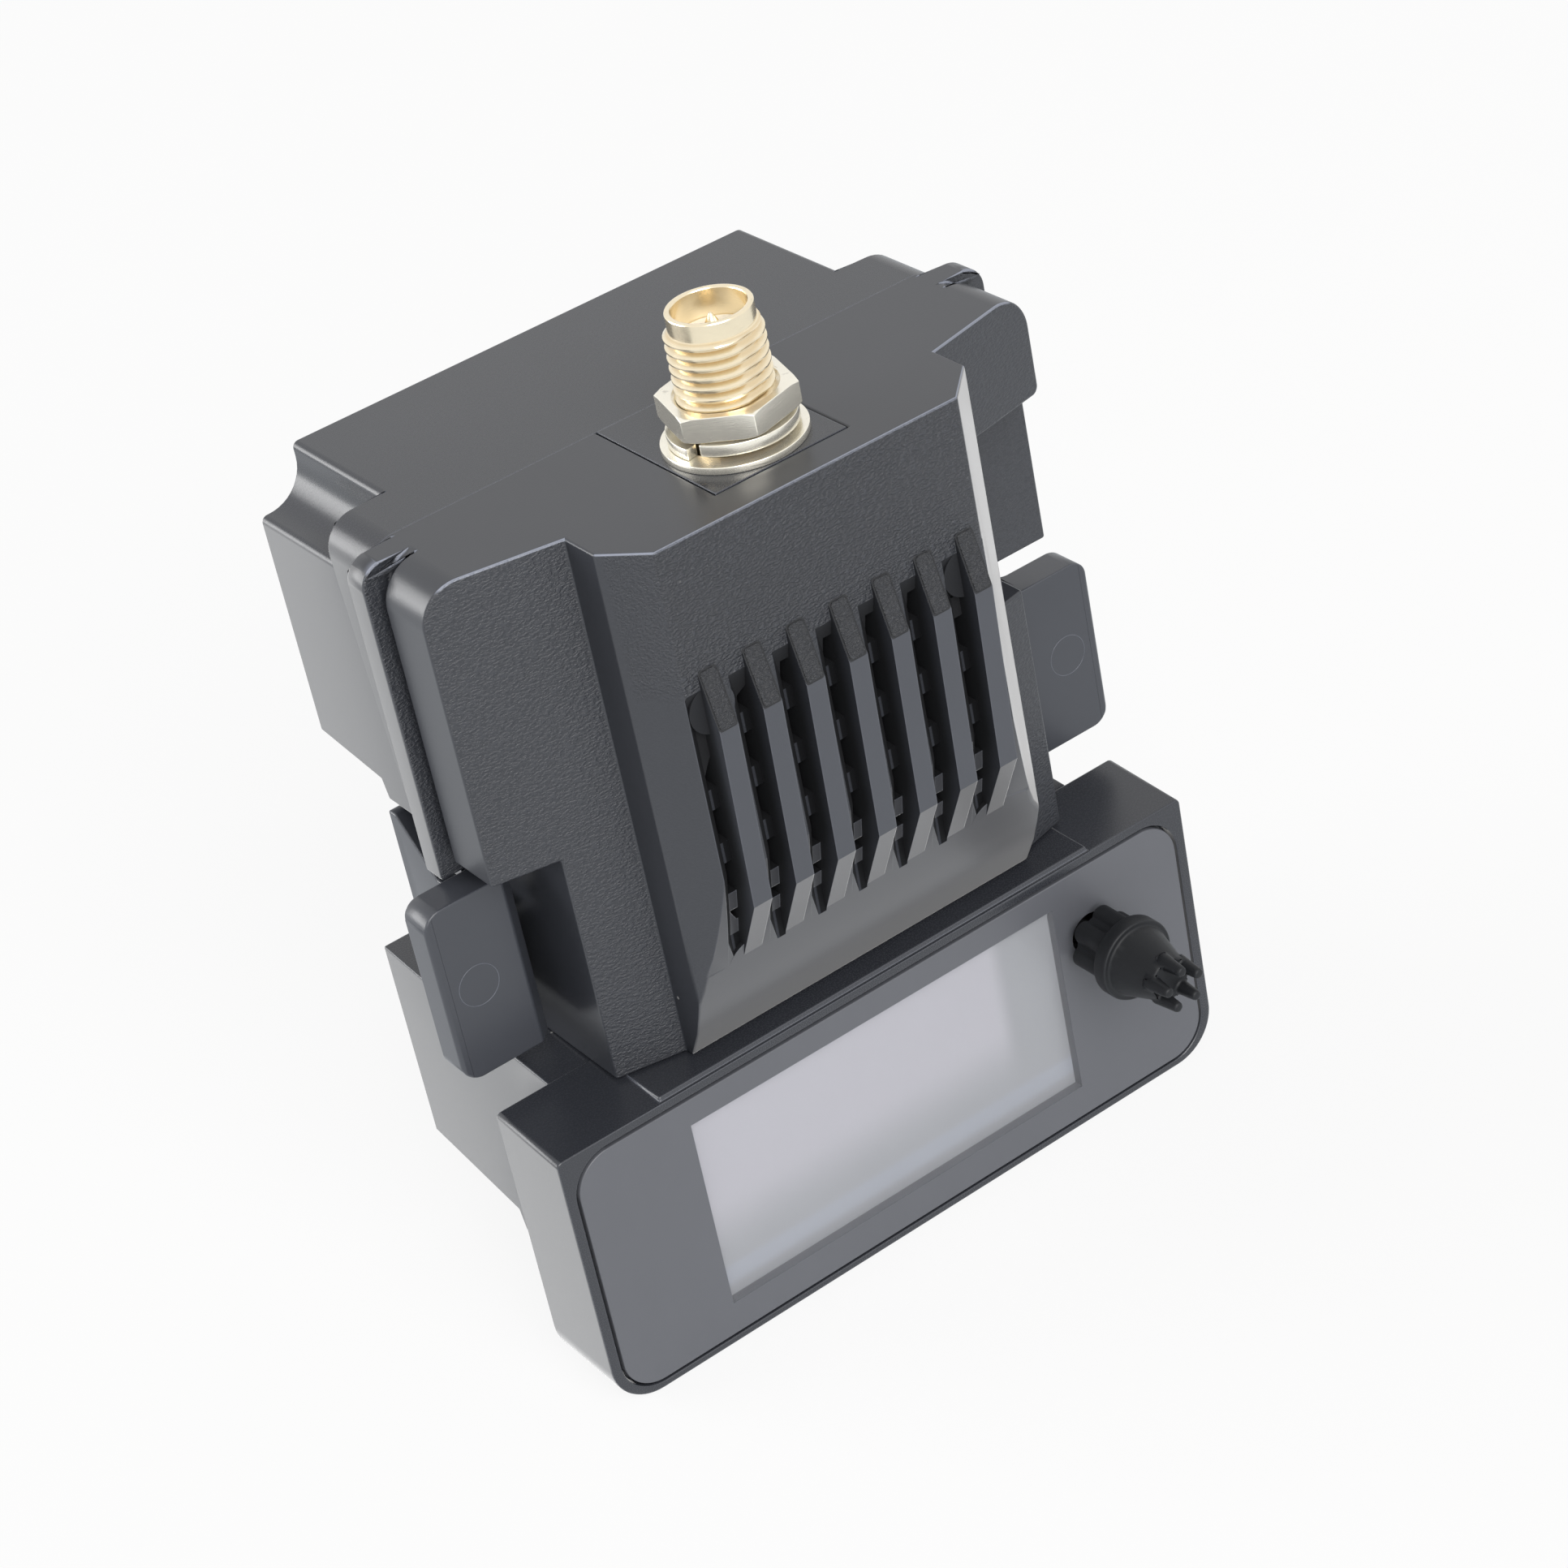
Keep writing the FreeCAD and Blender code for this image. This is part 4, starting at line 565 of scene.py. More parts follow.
class RADIO_OT_front_cover(bpy.types.Operator):
    """Front cover with rounded edges, spark grain and a textured pad above each fin"""
    bl_idname = "radio_module.front_cover"
    bl_label = "Front Cover"

    fins = 7
    first_fin = -10.54 * MM         # left side of the leftmost fin
    pitch = 3.36 * MM
    width = 1.45 * MM
    ramp = (Vector((0, -12.85, 52.0)) * MM, Vector((0, -14.05, 48.0)) * MM)
    # slot and slot_bed are materials with painted shade; fin is a lightened copy of the plastic, as
    # painted light.
    satin, slot, slot_bed, fin_end, fin = range(1, 6)       # places in the list of materials
    # boxes and depths in mm
    sharp_grille = ((-13.4, -30, 24.0), (13.4, 30, 53.5))
    grille = ((-12, -30, 28.5), (11.3, 0, 51.5))
    right_bevel = ((11, -30, -1), (14.3, -6, 80))
    front, fin_fronts = -12.3, -13.6
    raised_front = (-13.2, -12.5)

    def ready_shell(self, bm):
        """Brings the foot of the right bevel further out and parts the boss ends from the front."""
        boss_foot = (0, 0, 50.69)
        bevel_foot, further = 14.1, 0.5
        near, far = self.raised_front
        bm.normal_update()
        front = [face for face in bm.faces if face.normal.y < -0.9 and face.calc_area() > 20
                 and near < face.calc_center_median().y < far]
        edges = dict.fromkeys(edge for face in front for edge in face.edges)
        verts = dict.fromkeys(vert for face in front for vert in face.verts)
        bmesh.ops.bisect_plane(bm, geom=front + list(edges) + list(verts), dist=0.0005,
                               plane_co=boss_foot, plane_no=UP)
        for vert in bm.verts:
            if vert.co.y < -6.7 and abs(vert.co.x - bevel_foot) < 0.05:
                vert.co.x += further

    def slot_sides(self, colour):
        """Fin sides and cheeks, with painted shade that darkens them towards the floor of the slot.
        """
        recipe = Recipe("slot_plastic", Specular_IOR_Level=0.35)
        _, y, z = recipe.position()
        below = recipe.math("MAXIMUM", recipe.math("SUBTRACT", 37 * MM, z), 0.0)
        belly = recipe.times(below, 0.26)
        depth = recipe.rise(recipe.math("SUBTRACT", y, belly), -14.0 * MM, -12.45 * MM)
        fine = recipe.noise(9000, 2)
        tone = recipe.mix(depth, shade(colour, 1.25), shade(colour, 0.16))
        tone = recipe.mix(recipe.times(fine, 0.3), tone, shade(colour, 0.5))
        return recipe.finish(tone, recipe.between(depth, 0.42, 0.75),
                             recipe.bump(fine, 0.012 * MM, 0.3))

    def slot_floor(self, colour):
        """Floor and bars painted near black as shade; a painted highlight lightens the near ends of
        the bars.
        """
        recipe = Recipe("slot_floor_plastic", Specular_IOR_Level=0.15)
        past = recipe.math("SUBTRACT", recipe.position()["X"], self.first_fin - 3 * self.pitch)
        along = recipe.math("FRACT", recipe.math("DIVIDE", past, self.pitch))
        painted_bar_end_light = recipe.rise(along, 1 - 0.42 * MM / self.pitch, 1 - 0.50 * MM / self.pitch)
        fine = recipe.noise(7000, 2)
        tone = recipe.mix(painted_bar_end_light, shade(colour, 0.12), shade(colour, 1.2))
        tone = recipe.mix(recipe.times(fine, 0.3), tone, shade(colour, 0.1))
        return recipe.finish(tone, recipe.between(fine, 0.6, 0.8),
                             recipe.bump(fine, 0.012 * MM, 0.3))

    def sort_faces(self, bm):
        """Gives each face of the grille, lips and bevel its material: painted shade on the slot
        sides and floors, and a lightened copy of the plastic on the fin fronts as painted light.
        """
        first, pitch = self.first_fin / MM, self.pitch / MM
        near, far = self.raised_front
        bar_end = 0.66
        boss, boss_radius = Vector((10.04, 49.1)), 1.8      # a screw boss on either side
        bm.normal_update()
        for face in bm.faces:
            centre, way = face.calc_center_median(), face.normal
            x, y, z = centre
            in_grille = within(centre, self.grille)
            outside = y < self.front or z < 36
            highest_bar = 47 if x > first else 44
            on_floor = ((x - first) % pitch > pitch - bar_end and way.y < -0.5
                        and z < highest_bar)
            on_lip = abs(way.x) > 0.7 and abs(x) > 23.8 and y > 0.5
            on_bevel = way.x > 0.4 and way.y < -0.3 and within(centre, self.right_bevel)
            on_slope = way.y < -0.5 and abs(x) < 14.2
            on_boss = ((Vector((abs(x), z)) - boss).length < boss_radius and way.y < -0.9
                       and near < y < far)
            faces_down = way.z < -0.15
            if in_grille and outside and (on_boss or way.x > 0.5 or faces_down and z > 40):
                face.material_index = self.slot
            elif in_grille and y < self.fin_fronts:
                face.material_index = self.fin
            elif faces_down and outside and (in_grille or on_slope):
                face.material_index = self.fin_end
            elif in_grille and on_floor:
                face.material_index = self.slot_bed
            elif in_grille and not (way.y < -0.78 and outside):
                face.material_index = self.slot
            elif on_lip or on_bevel:
                face.material_index = self.satin

    def pads(self, name, material, margin, height):
        """A raised pad on the ramp above each fin, set in from its sides by margin."""
        corner_size = 0.26 * MM
        top, foot = self.ramp
        run = foot - top
        slope = run.normalized()
        across = Vector((1, 0, 0))
        outward = slope.cross(across).normalized()
        bm = bmesh.new()
        for i in range(self.fins):
            left = self.first_fin + i * self.pitch + margin
            corners = [top + slope * margin + across * side
                       for side in (left, left + (self.width - 2 * margin))]
            corners += [corner + run - slope * 2 * margin for corner in reversed(corners)]
            verts = [bm.verts.new(corner) for corner in corners]
            bm.faces.new(verts)
            bmesh.ops.bevel(bm, geom=verts, affect="VERTICES", offset=corner_size, segments=4,
                            profile=0.5, material=-1)
        face_out(bm)
        lifted = bmesh.ops.extrude_face_region(bm, geom=list(bm.faces))["geom"]
        bmesh.ops.translate(bm, verts=only(bmesh.types.BMVert, lifted), vec=outward * height)
        rims = dict.fromkeys(edge for face in only(bmesh.types.BMFace, lifted)
                             for edge in face.edges)
        round_off(bm, list(rims), height * 0.4, 2)
        face_out(bm)
        return piece_from(bm, name, material, "case", smooth=False)

    def execute(self, context):
        finish, edges = chosen(context)
        plastic = case_plastic("cover_plastic", finish, mask=cover_grain_mask, dust=0.035,
                               outline=3.0, crest=span("front_cover")[1].z)
        cover = rounded_copy("front_cover", "moulded_cover", plastic, edges.cover,
                             crisp=[self.sharp_grille, PARTING], before=self.ready_shell,
                             after=self.sort_faces)
        # Satin plastic; slot sides with painted shade; slot floor painted near black as shade; fin
        # ends; fin fronts in a lightened copy of the plastic as painted light.
        for material in (case_plastic("satin_cover_plastic", finish, sheen=1.0),
                         self.slot_sides(finish.plastic),
                         self.slot_floor(finish.plastic),
                         case_plastic("fin_end_plastic", finish, outline=3.0, sheen=0.8),
                         case_plastic("fin_plastic", finish, 1.75, outline=2.0)):
            cover.data.materials.append(material)
        # Painted shadow: a near-black rim round each pad stands in for the shade at its step.
        rim = plain_part("pad_rim_plastic", shade(finish.plastic, 0.3), 0.6, grain=7000)
        self.pads("fin_pad_rims", rim, 0.01 * MM, 0.03 * MM)
        # Painted shade: the pads take a darker copy of the case plastic, and their edges are
        # darkened.
        pad = moulded("pad_plastic", shade(finish.plastic, 0.6), finish.plastic_roughness + 0.06,
                      2.0, mask=everywhere, outline=0.15)
        self.pads("fin_pads", pad, 0.11 * MM, 0.10 * MM)
        return {"FINISHED"}


class RADIO_OT_housings(bpy.types.Operator):
    """Rear housing, screen housing and antenna plate with rounded edges"""
    bl_idname = "radio_module.housings"
    bl_label = "Housings"

    def sides(self, bm):
        """Outer side faces take the satin finish."""
        bm.normal_update()
        for face in bm.faces:
            if abs(face.normal.x) > 0.75 and abs(face.calc_center_median().x) > 19:
                face.material_index = 1

    def plinth(self, bm):
        """Brings the front of the plinth under the cover up to the screen housing's rim."""
        low, high, _ = span("screen_housing")
        rim, top = low.y / MM, high.z / MM
        set_back, new_set_back = 0.9, 0.18
        for vert in bm.verts:
            if abs(vert.co.y - rim - set_back) < 0.03 and vert.co.z > top - 0.6:
                vert.co.y = rim + new_set_back

    def execute(self, context):
        finish, edges = chosen(context)
        plastic = case_plastic("housing_plastic", finish, rougher=-0.04, grain=0.2, dust=0.02)
        satin = case_plastic("satin_side_plastic", finish, sheen=1.0)
        for node, slot, width, before in (
                ("rear_housing", "housing", edges.housing, None),
                ("screen_housing", "screen_case", edges.housing, self.plinth),
                ("antenna_plate", "plate", edges.metal, None)):
            piece = rounded_copy(node, "moulded_" + node, plastic, width,
                                 crisp=[PARTING], before=before, after=self.sides)
            piece.data.materials.append(satin)
        return {"FINISHED"}


class RADIO_OT_screen(bpy.types.Operator):
    """Screen panel, its clear window and the display behind it"""
    bl_idname = "radio_module.screen"
    bl_label = "Screen"

    def sheet(self, name, front, back, material, edge):
        """Thin plate that fills the window between two depths, with eased edges."""
        low, high, middle = span("display_glass")
        bm = bmesh.new()
        bmesh.ops.create_cube(bm, size=1)
        size = Vector((high.x - low.x, back - front, high.z - low.z))
        bmesh.ops.scale(bm, verts=bm.verts, vec=size)
        bmesh.ops.translate(bm, verts=bm.verts,
                            vec=Vector((middle.x, (front + back) / 2, middle.z)))
        round_off(bm, list(bm.edges), edge, 2)
        piece = piece_from(bm, name, material, "case")
        even_normals(piece)
        return piece

    def execute(self, context):
        finish, edges = chosen(context)
        low, high, _ = span("display_glass")
        around = Vector((0.5, 30, 0.5))
        window = (low / MM - around, high / MM + around)
        satin = satin_panel("panel_satin", finish.panel, finish.edge_highlight_level)
        rounded_copy("screen_panel", "rounded_screen_panel", satin, edges.panel,
                     crisp=[window])
        clear = clear_window("window_clear")
        film = display_stack("display_film", finish.film, finish.film_edge)
        dress(clear, "display_glass")
        dress(film, "display_module")
        pane = self.sheet("window_pane", low.y, high.y - 0.2 * MM, clear, 0.05 * MM)
        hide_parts("display_glass")
        self.sheet("display_sheet", high.y - 0.16 * MM, high.y - 0.01 * MM, film, 0.02 * MM)
        return {"FINISHED"}


class RADIO_OT_antenna_socket(bpy.types.Operator):
    """Gold-plated antenna socket: threaded barrel, insulator, centre pin, washers and nut"""
    bl_idname = "radio_module.antenna_socket"
    bl_label = "Antenna Socket"

    crest = 3.175 * MM              # radius over the thread
    core = 2.8 * MM                 # radius of the plain barrel
    bore = 2.4 * MM
    pin = 0.47 * MM                 # radius of the centre pin
    seat = 1.8 * MM                 # floor of the bore, above the barrel's foot
    flat_way = Vector((0.17, -0.985, 0)).normalized()      # the flat milled along the thread
    flat_depth = 3.0 * MM

    def turned(self, name, profile, steps, material, slot, node, sharp, least_gap=0.0):
        """A piece turned about the jack's axis, which stands for a CAD node."""
        middle = span("jack_body")[2]
        bm = bmesh.new()
        lathe(bm, profile, Vector((middle.x, middle.y, 0)), UP, steps)
        if least_gap:
            bmesh.ops.remove_doubles(bm, verts=bm.verts, dist=least_gap)
        face_out(bm)
        piece = piece_from(bm, name, material, "case")
        piece.data.set_sharp_from_angle(angle=radians(sharp))
        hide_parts(node)

    def inner_parts(self, cream, gold):
        """Insulator just below the rim and the pointed pin that stands in it."""
        low, high, _ = span("jack_body")
        floor = low.z + self.seat
        face = high.z - 1.9 * MM
        recess = face - 0.45 * MM
        self.turned("turned_insulator",
                    [(self.pin, floor), (self.bore, floor), (self.bore, face - 0.08 * MM),
                     (self.bore - 0.08 * MM, face), (0.95 * MM, face),
                     (0.90 * MM, face - 0.05 * MM), (0.90 * MM, recess), (self.pin, recess)],
                    64, cream, "insulator", "jack_insulator", 30)
        tip = high.z - 0.55 * MM
        near_axis = 0.004 * MM
        self.turned("turned_centre_pin",
                    [(near_axis, floor), (self.pin, floor), (self.pin, tip - 0.75 * MM),
                     (self.pin - 0.03 * MM, tip - 0.62 * MM), (0.14 * MM, tip - 0.05 * MM),
                     (0.08 * MM, tip), (near_axis, tip)],
                    48, gold, "gold", "jack_centre_pin", 25, least_gap=0.006 * MM)

    def countersink(self, bm):
        """Opens the nut's bore with a wide bevel at both ends."""
        middle = span("jack_nut")[2] / MM
        radius, bevel = 2.82, 0.62
        bore = [edge for edge in bm.edges
                if len(edge.link_faces) == 2 and edge.calc_face_angle(0) > radians(60)
                and all(abs((vert.co - middle).xy.length - radius) < 0.05 for vert in edge.verts)]
        round_off(bm, bore, bevel, 1, clamp_overlap=False, loop_slide=True)

    def barrel(self, settings, material):
        """The jack's body: a stepped foot, a bored barrel with eased ends, and its thread."""
        low, high, middle = span("jack_body")
        centre = Vector((middle.x, middle.y, 0))
        core, bore = self.core, self.bore
        contact, tail, neck, flange = 0.42 * MM, 1.3 * MM, 3.6 * MM, 4.4 * MM       # radii
        shoulder = low.z + 1.2 * MM
        floor = low.z + self.seat
        flange_top = low.z + 3.0 * MM
        rim = high.z
        thread_top = high.z - 1.20 * MM
        thread_low = thread_top - settings.turns * settings.pitch
        bm = bmesh.new()
        lathe(bm, [(contact, low.z), (tail, low.z), (tail, shoulder), (neck, shoulder),
                   (neck, floor), (flange, floor), (flange, flange_top), (core, flange_top),
                   (core, rim - 0.10 * MM), (core - 0.04 * MM, rim - 0.03 * MM),
                   (core - 0.11 * MM, rim), (bore + 0.11 * MM, rim),
                   (bore + 0.04 * MM, rim - 0.03 * MM), (bore, rim - 0.10 * MM),
                   (bore, floor), (contact, floor)],
              centre, UP, 2 * settings.steps)
        self.thread(bm, centre, thread_low, thread_top, settings)
        face_out(bm)
        piece = piece_from(bm, "threaded_barrel", material, "case")
        even_normals(piece)
        piece.data.set_sharp_from_angle(angle=radians(28))
        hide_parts("jack_body")

    def thread(self, bm, centre, low, high, settings):
        """Helical thread cut level at both ends and closed on to the barrel."""
        pitch, crest = settings.pitch, self.crest
        root = crest - settings.depth
        sunk = self.core - 0.1 * MM             # radius of the ends hidden in the barrel
        run_out = 1.8                           # how fast the crest rises below the plain end
        start = low - 1.5 * pitch
        turns = int((high - start) / pitch) + 2
        flat = pitch * 0.14
        shape = [(root, 0), (root, flat), (crest, pitch / 2 - flat / 2),
                 (crest, pitch / 2 + flat / 2), (root, pitch - flat * 0.01)]
        part = bmesh.new()
        corners = [part.verts.new(centre + Vector((radius, 0, start + height)))
                   for radius, height in shape]
        profile = [part.edges.new(pair) for pair in zip(corners, corners[1:])]
        bmesh.ops.spin(part, geom=corners + profile, cent=centre, axis=UP,
                       dvec=UP * pitch / settings.steps, angle=2 * pi * turns,
                       steps=settings.steps * turns)
        bmesh.ops.remove_doubles(part, verts=part.verts, dist=0.02 * MM)
        for level, way in ((low, -1), (high, 1)):
            geometry = list(part.verts) + list(part.edges) + list(part.faces)
            bmesh.ops.bisect_plane(part, geom=geometry, plane_co=centre + UP * level,
                                   plane_no=UP * way, clear_outer=True)
        for vert in part.verts:
            arm = vert.co - centre - UP * vert.co.z
            limit = root + max(0.0, high - vert.co.z) * run_out
            if arm.length > limit:
                vert.co -= arm.normalized() * (arm.length - limit)
            over = (vert.co - centre).dot(self.flat_way) - self.flat_depth
            if over > 0:
                vert.co -= self.flat_way * over
        inner = []
        for level in (low, high):
            ring = [edge for edge in part.edges if len(edge.link_faces) == 1
                    and all(abs(vert.co.z - level) < 0.01 * MM for vert in edge.verts)]
            made = bmesh.ops.extrude_edge_only(part, edges=ring)["geom"]
            for vert in only(bmesh.types.BMVert, made):
                arm = vert.co - centre - UP * vert.co.z
                vert.co -= arm.normalized() * (arm.length - sunk)
            inner += [edge for edge in only(bmesh.types.BMEdge, made)
                      if len(edge.link_faces) == 1]
        bmesh.ops.bridge_loops(part, edges=inner)
        face_out(part)
        mesh = bpy.data.meshes.new("thread")
        part.to_mesh(mesh)
        part.free()
        bm.from_mesh(mesh)
        bpy.data.meshes.remove(mesh)

    def execute(self, context):
        finish, edges = chosen(context)
        gold = plated("gold_turned", finish.gold, 0.17, painted_groove_shade=thread_root_shade)
        pale = plated("gold_brushed", finish.pale_gold, 0.22, lines=(1.5, 1.5, 12), metal=0.8)
        dress(gold, "jack_body", "jack_centre_pin", "lead_plug", "bay_contacts")
        cream = plain_part("insulator", (0.88, 0.85, 0.78), 0.4, grain=2500, spread=0.05)
        dress(cream, "jack_insulator")
        self.barrel(context.scene.radio_antenna, gold)
        self.inner_parts(cream, gold)
        for part, before in (("nut", self.countersink), ("flat_washer", None),
                             ("lock_washer", None)):
            rounded_copy("jack_" + part, "rounded_" + part, pale, edges.metal,
                         least_angle=25, before=before)
        return {"FINISHED"}


class RADIO_OT_joystick(bpy.types.Operator):
    """Five-way joystick: cap with softened edges, stem, rings and switch"""
    bl_idname = "radio_module.joystick"
    bl_label = "Joystick"

    def execute(self, context):
        finish, edges = chosen(context)
        cap = moulded("cap_plastic", finish.cap, 0.5, finish.edge_highlight_level, grain=0.5, gloss_level=0.3)
        rounded_copy("joystick_cap", "rounded_joystick_cap", cap, edges.housing)
        dress(plain_part("stem_plastic", (0.03, 0.03, 0.033), 0.4), "joystick_stem")
        dress(plain_part("switch_case", (0.035, 0.035, 0.038), 0.45), "joystick_switch")
        dress(plain_part("pivot_rings", (0.45, 0.44, 0.42), 0.35, metallic=1.0),
              "joystick_gimbal", "joystick_rocker")
        return {"FINISHED"}


class RADIO_OT_latches(bpy.types.Operator):
    """Side latches with their ejector marks, guide pins and springs"""
    bl_idname = "radio_module.latches"
    bl_label = "Latches"

    mark = 1.5 * MM                 # radius of the ejector mark
    mark_from_centre = 24.8 * MM

    def ejector_mark(self, latch, name, out, material):
        """A faint raised ring on the tab."""
        low, _, middle = span(latch)
        centre = Vector((out * self.mark_from_centre, low.y, middle.z))
        half, proud = 0.06 * MM, 0.03 * MM
        bm = bmesh.new()
        lathe(bm, [(self.mark - half, proud), (self.mark, -proud), (self.mark + half, proud),
                   (self.mark, 2 * proud)], centre, Vector((0, 1, 0)), 64)
        face_out(bm)
        piece_from(bm, name, material, latch)

    def coil(self, side, out, steel):
        """A copy of the spring that stands for it; it rides on no body."""
        node = side + "_latch_spring"
        bm = bmesh.new()
        bm.from_mesh(frame["nodes"][node].data)
        bmesh.ops.remove_doubles(bm, verts=bm.verts, dist=0.001 * MM)
        face_out(bm)
        spring = piece_from(bm, side + "_coil_spring", steel, None)
        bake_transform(spring)
        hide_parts(node)

    def execute(self, context):
        finish, edges = chosen(context)
        # Painted light: the tabs take a lightened copy of the case plastic.
        plastic = case_plastic("latch_plastic", finish, 1.5, outline=4.0)
        steel = plain_part("spring_steel", finish.steel, 0.28, metallic=1.0, grain=6000)
        for side, out in (("left", -1), ("right", 1)):
            latch = side + "_latch"
            dress(steel, latch + "_pin", latch + "_spring")
            rounded_copy(latch, side + "_moulded_latch", plastic, edges.housing)
            self.ejector_mark(latch, side + "_ejector_mark", out, plastic)
            self.coil(side, out, steel)
        return {"FINISHED"}


class RADIO_OT_electronics(bpy.types.Operator):
    """Boards, chips, shield, heat sink, leads and the bay socket"""
    bl_idname = "radio_module.electronics"
    bl_label = "Electronics"

    def execute(self, context):
        board = circuit_board("board_mask", context.scene.radio_finishes.board)
        dress(board, "main_board", "screen_board")
        for node, name, colour, roughness, look in (
                ("board_components", "chip_resin", (0.022, 0.022, 0.024), 0.5, {"grain": 7000}),
                ("rf_shield", "shield_tin", (0.62, 0.62, 0.60), 0.3,
                 {"metallic": 1.0, "grain": 1500, "stretch": (8, 1, 1)}),
                ("heat_sink", "sink_aluminium", (0.42, 0.43, 0.45), 0.42,
                 {"metallic": 1.0, "grain": 3000, "stretch": (1, 1, 0.06)}),
                ("board_link", "ribbon_film", (0.55, 0.24, 0.05), 0.3,
                 {"grain": 1800, "stretch": (6, 0.2, 0.2)}),
                ("antenna_lead", "lead_jacket", (0.16, 0.09, 0.05), 0.35, {"grain": 5000}),
                ("bay_socket", "socket_nylon", (0.016, 0.016, 0.018), 0.5, {})):
            dress(plain_part(name, colour, roughness, **look), node)
        return {"FINISHED"}


class RADIO_OT_fan(bpy.types.Operator):
    """Cooling fan: frame and rotor"""
    bl_idname = "radio_module.fan"
    bl_label = "Fan"

    def execute(self, context):
        dress(plain_part("fan_frame_plastic", (0.015, 0.015, 0.017), 0.42), "fan_frame")
        dress(plain_part("fan_rotor_plastic", (0.020, 0.020, 0.022), 0.38, stretch=(1, 6, 1)),
              "fan_rotor")
        return {"FINISHED"}


class RADIO_OT_screws(bpy.types.Operator):
    """Case, board and fan screws"""
    bl_idname = "radio_module.screws"
    bl_label = "Screws"

    def execute(self, context):
        turned = {"metallic": 1.0, "grain": 5000, "stretch": (1, 3, 1)}
        dress(plain_part("screw_black_zinc", (0.06, 0.06, 0.065), 0.32, **turned),
              "case_screws", "fan_screws")
        dress(plain_part("screw_nickel", (0.60, 0.59, 0.56), 0.25, **turned), "board_screws")
        return {"FINISHED"}


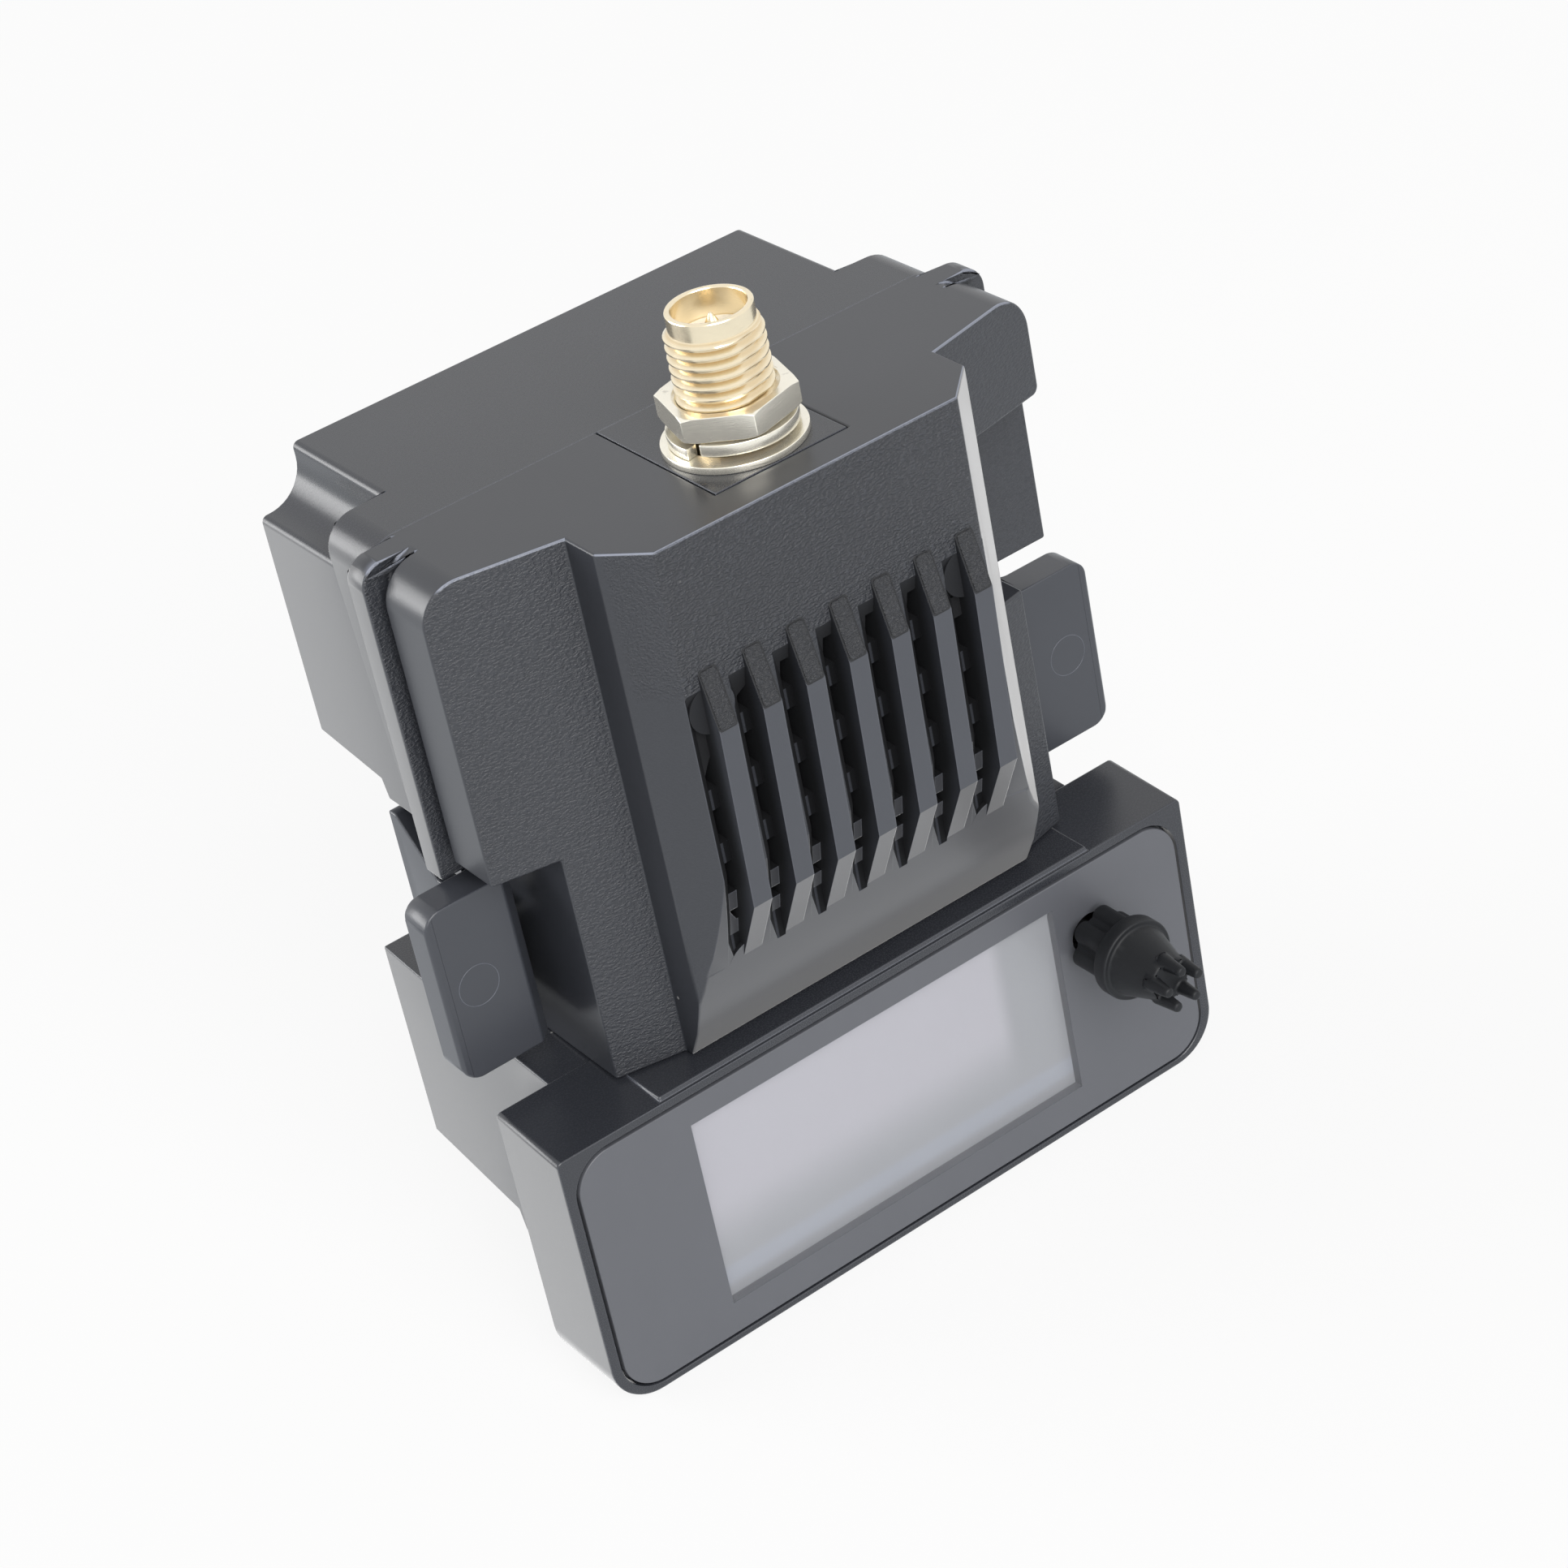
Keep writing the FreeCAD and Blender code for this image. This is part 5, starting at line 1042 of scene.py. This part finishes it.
class RADIO_OT_stage(bpy.types.Operator):
    """Pale floor, soft lamps and the camera"""
    bl_idname = "radio_module.stage"
    bl_label = "Stage"

    camera_place = Vector((-0.108372, -0.191063, 0.171566))
    camera_turn = Quaternion((0.818267, 0.476361, -0.074626, -0.312969))
    floor_reach = 6.0               # metres from its middle to its edges

    def white_seen(self, nodes):
        """1 for what the camera, metal and glass see."""
        path = nodes.node("ShaderNodeLightPath").outputs
        seen = nodes.math("MAXIMUM", path["Is Camera Ray"], path["Is Glossy Ray"])
        return nodes.math("MAXIMUM", seen, path["Is Transmission Ray"])

    def floor(self, shadow):
        """A pale sheet under the module, plain white to the camera but for the shadow."""
        bm = bmesh.new()
        bmesh.ops.create_grid(bm, x_segments=8, y_segments=8, size=self.floor_reach)
        bmesh.ops.translate(bm, verts=bm.verts, vec=(0, 0, CAD_BOX[0].z - 0.05 * MM))
        recipe = Recipe("floor_paper", Specular_IOR_Level=0.0, Roughness=1.0)
        fibre = recipe.noise(60, 3)
        recipe.finish(recipe.mix(fibre, (0.86, 0.86, 0.86), (0.90, 0.90, 0.90)))
        direct = recipe.node("ShaderNodeLightPath").outputs["Is Camera Ray"]
        glow = recipe.node("ShaderNodeEmission",
                           {"Color": recipe.mix(direct, (0.93, 0.965, 1.0), (1, 1, 1))})
        share = recipe.times(self.white_seen(recipe), 1 - shadow)
        blend = recipe.node("ShaderNodeMixShader", {0: share, 1: recipe.shader.outputs["BSDF"],
                                                    2: glow.outputs[0]})
        recipe.join(blend.outputs[0], recipe.output.inputs["Surface"])
        piece_from(bm, "floor", recipe.material, None, smooth=False)

    def world(self, level):
        """White where it is seen, and an even light of that level on everything."""
        world = bpy.data.worlds.new("white_room")
        world.use_nodes = True
        nodes = Nodes(world.node_tree)
        background = nodes.tree.nodes["Background"].inputs
        background["Color"].default_value = (1, 1, 1, 1)
        nodes.join(nodes.between(self.white_seen(nodes), level, 1.0), background["Strength"])
        bpy.context.scene.world = world

    def lamp(self, name, way, distance, size, level, colour):
        """A square soft lamp; at level 1 a face square to it renders as its colour is written."""
        data = bpy.data.lights.new(name, "AREA")
        data.shape = "SQUARE"
        data.size = size
        data.energy = level * (pi * distance) ** 2
        data.color = colour
        lamp = new_object(name, data)
        towards = Vector(way).normalized()
        middle = (CAD_BOX[0] + CAD_BOX[1]) / 2
        lamp.location = middle + towards * distance
        lamp.rotation_mode = "QUATERNION"
        lamp.rotation_quaternion = (-towards).to_track_quat("-Z", "Y")

    def execute(self, context):
        settings = context.scene.radio_stage
        self.floor(settings.shadow)
        self.world(settings.ambient)
        distance, size = 2.0, 1.5
        self.lamp("key_lamp", (-0.20, -0.81, 0.55), distance, size, settings.key,
                  (1.0, 0.985, 0.97))
        self.lamp("back_lamp", (-0.75, 0.64, 0.16), distance, size, settings.back, (1, 1, 1))
        data = bpy.data.cameras.new("camera")
        data.lens = settings.lens
        data.sensor_width = 36
        data.clip_start = 0.01
        data.clip_end = 20
        camera = new_object("camera", data)
        camera.rotation_mode = "QUATERNION"
        camera.location = self.camera_place
        camera.rotation_quaternion = self.camera_turn
        context.scene.camera = camera
        context.scene.view_settings.view_transform = "Standard"
        return {"FINISHED"}


OPERATORS = (RADIO_OT_front_cover, RADIO_OT_housings, RADIO_OT_screen, RADIO_OT_antenna_socket,
             RADIO_OT_joystick, RADIO_OT_latches, RADIO_OT_electronics, RADIO_OT_fan,
             RADIO_OT_screws, RADIO_OT_stage)
SETTINGS = {"radio_finishes": RADIO_PG_finishes, "radio_edges": RADIO_PG_edges,
            "radio_antenna": RADIO_PG_antenna, "radio_stage": RADIO_PG_stage}


class RADIO_PT_panel(bpy.types.Panel):
    """Radio module tools"""
    bl_idname = "RADIO_PT_panel"
    bl_label = "Radio Module"
    bl_space_type = "VIEW_3D"
    bl_region_type = "UI"
    bl_category = "Radio Module"

    def draw(self, context):
        for name, group in SETTINGS.items():
            box = self.layout.box()
            for setting in group.__annotations__:
                box.prop(getattr(context.scene, name), setting)
        for operator in OPERATORS:
            self.layout.operator(operator.bl_idname)


CLASSES = (*SETTINGS.values(), *OPERATORS, RADIO_PT_panel)


def register():
    for kind in CLASSES:
        bpy.utils.register_class(kind)
    for name, group in SETTINGS.items():
        setattr(bpy.types.Scene, name, PointerProperty(type=group))


def unregister():
    for name in SETTINGS:
        delattr(bpy.types.Scene, name)
    for kind in reversed(CLASSES):
        bpy.utils.unregister_class(kind)


def main():
    register()
    for operator in OPERATORS:
        group, name = operator.bl_idname.split(".")
        getattr(getattr(bpy.ops, group), name)()


if __name__ == "__main__":
    main()
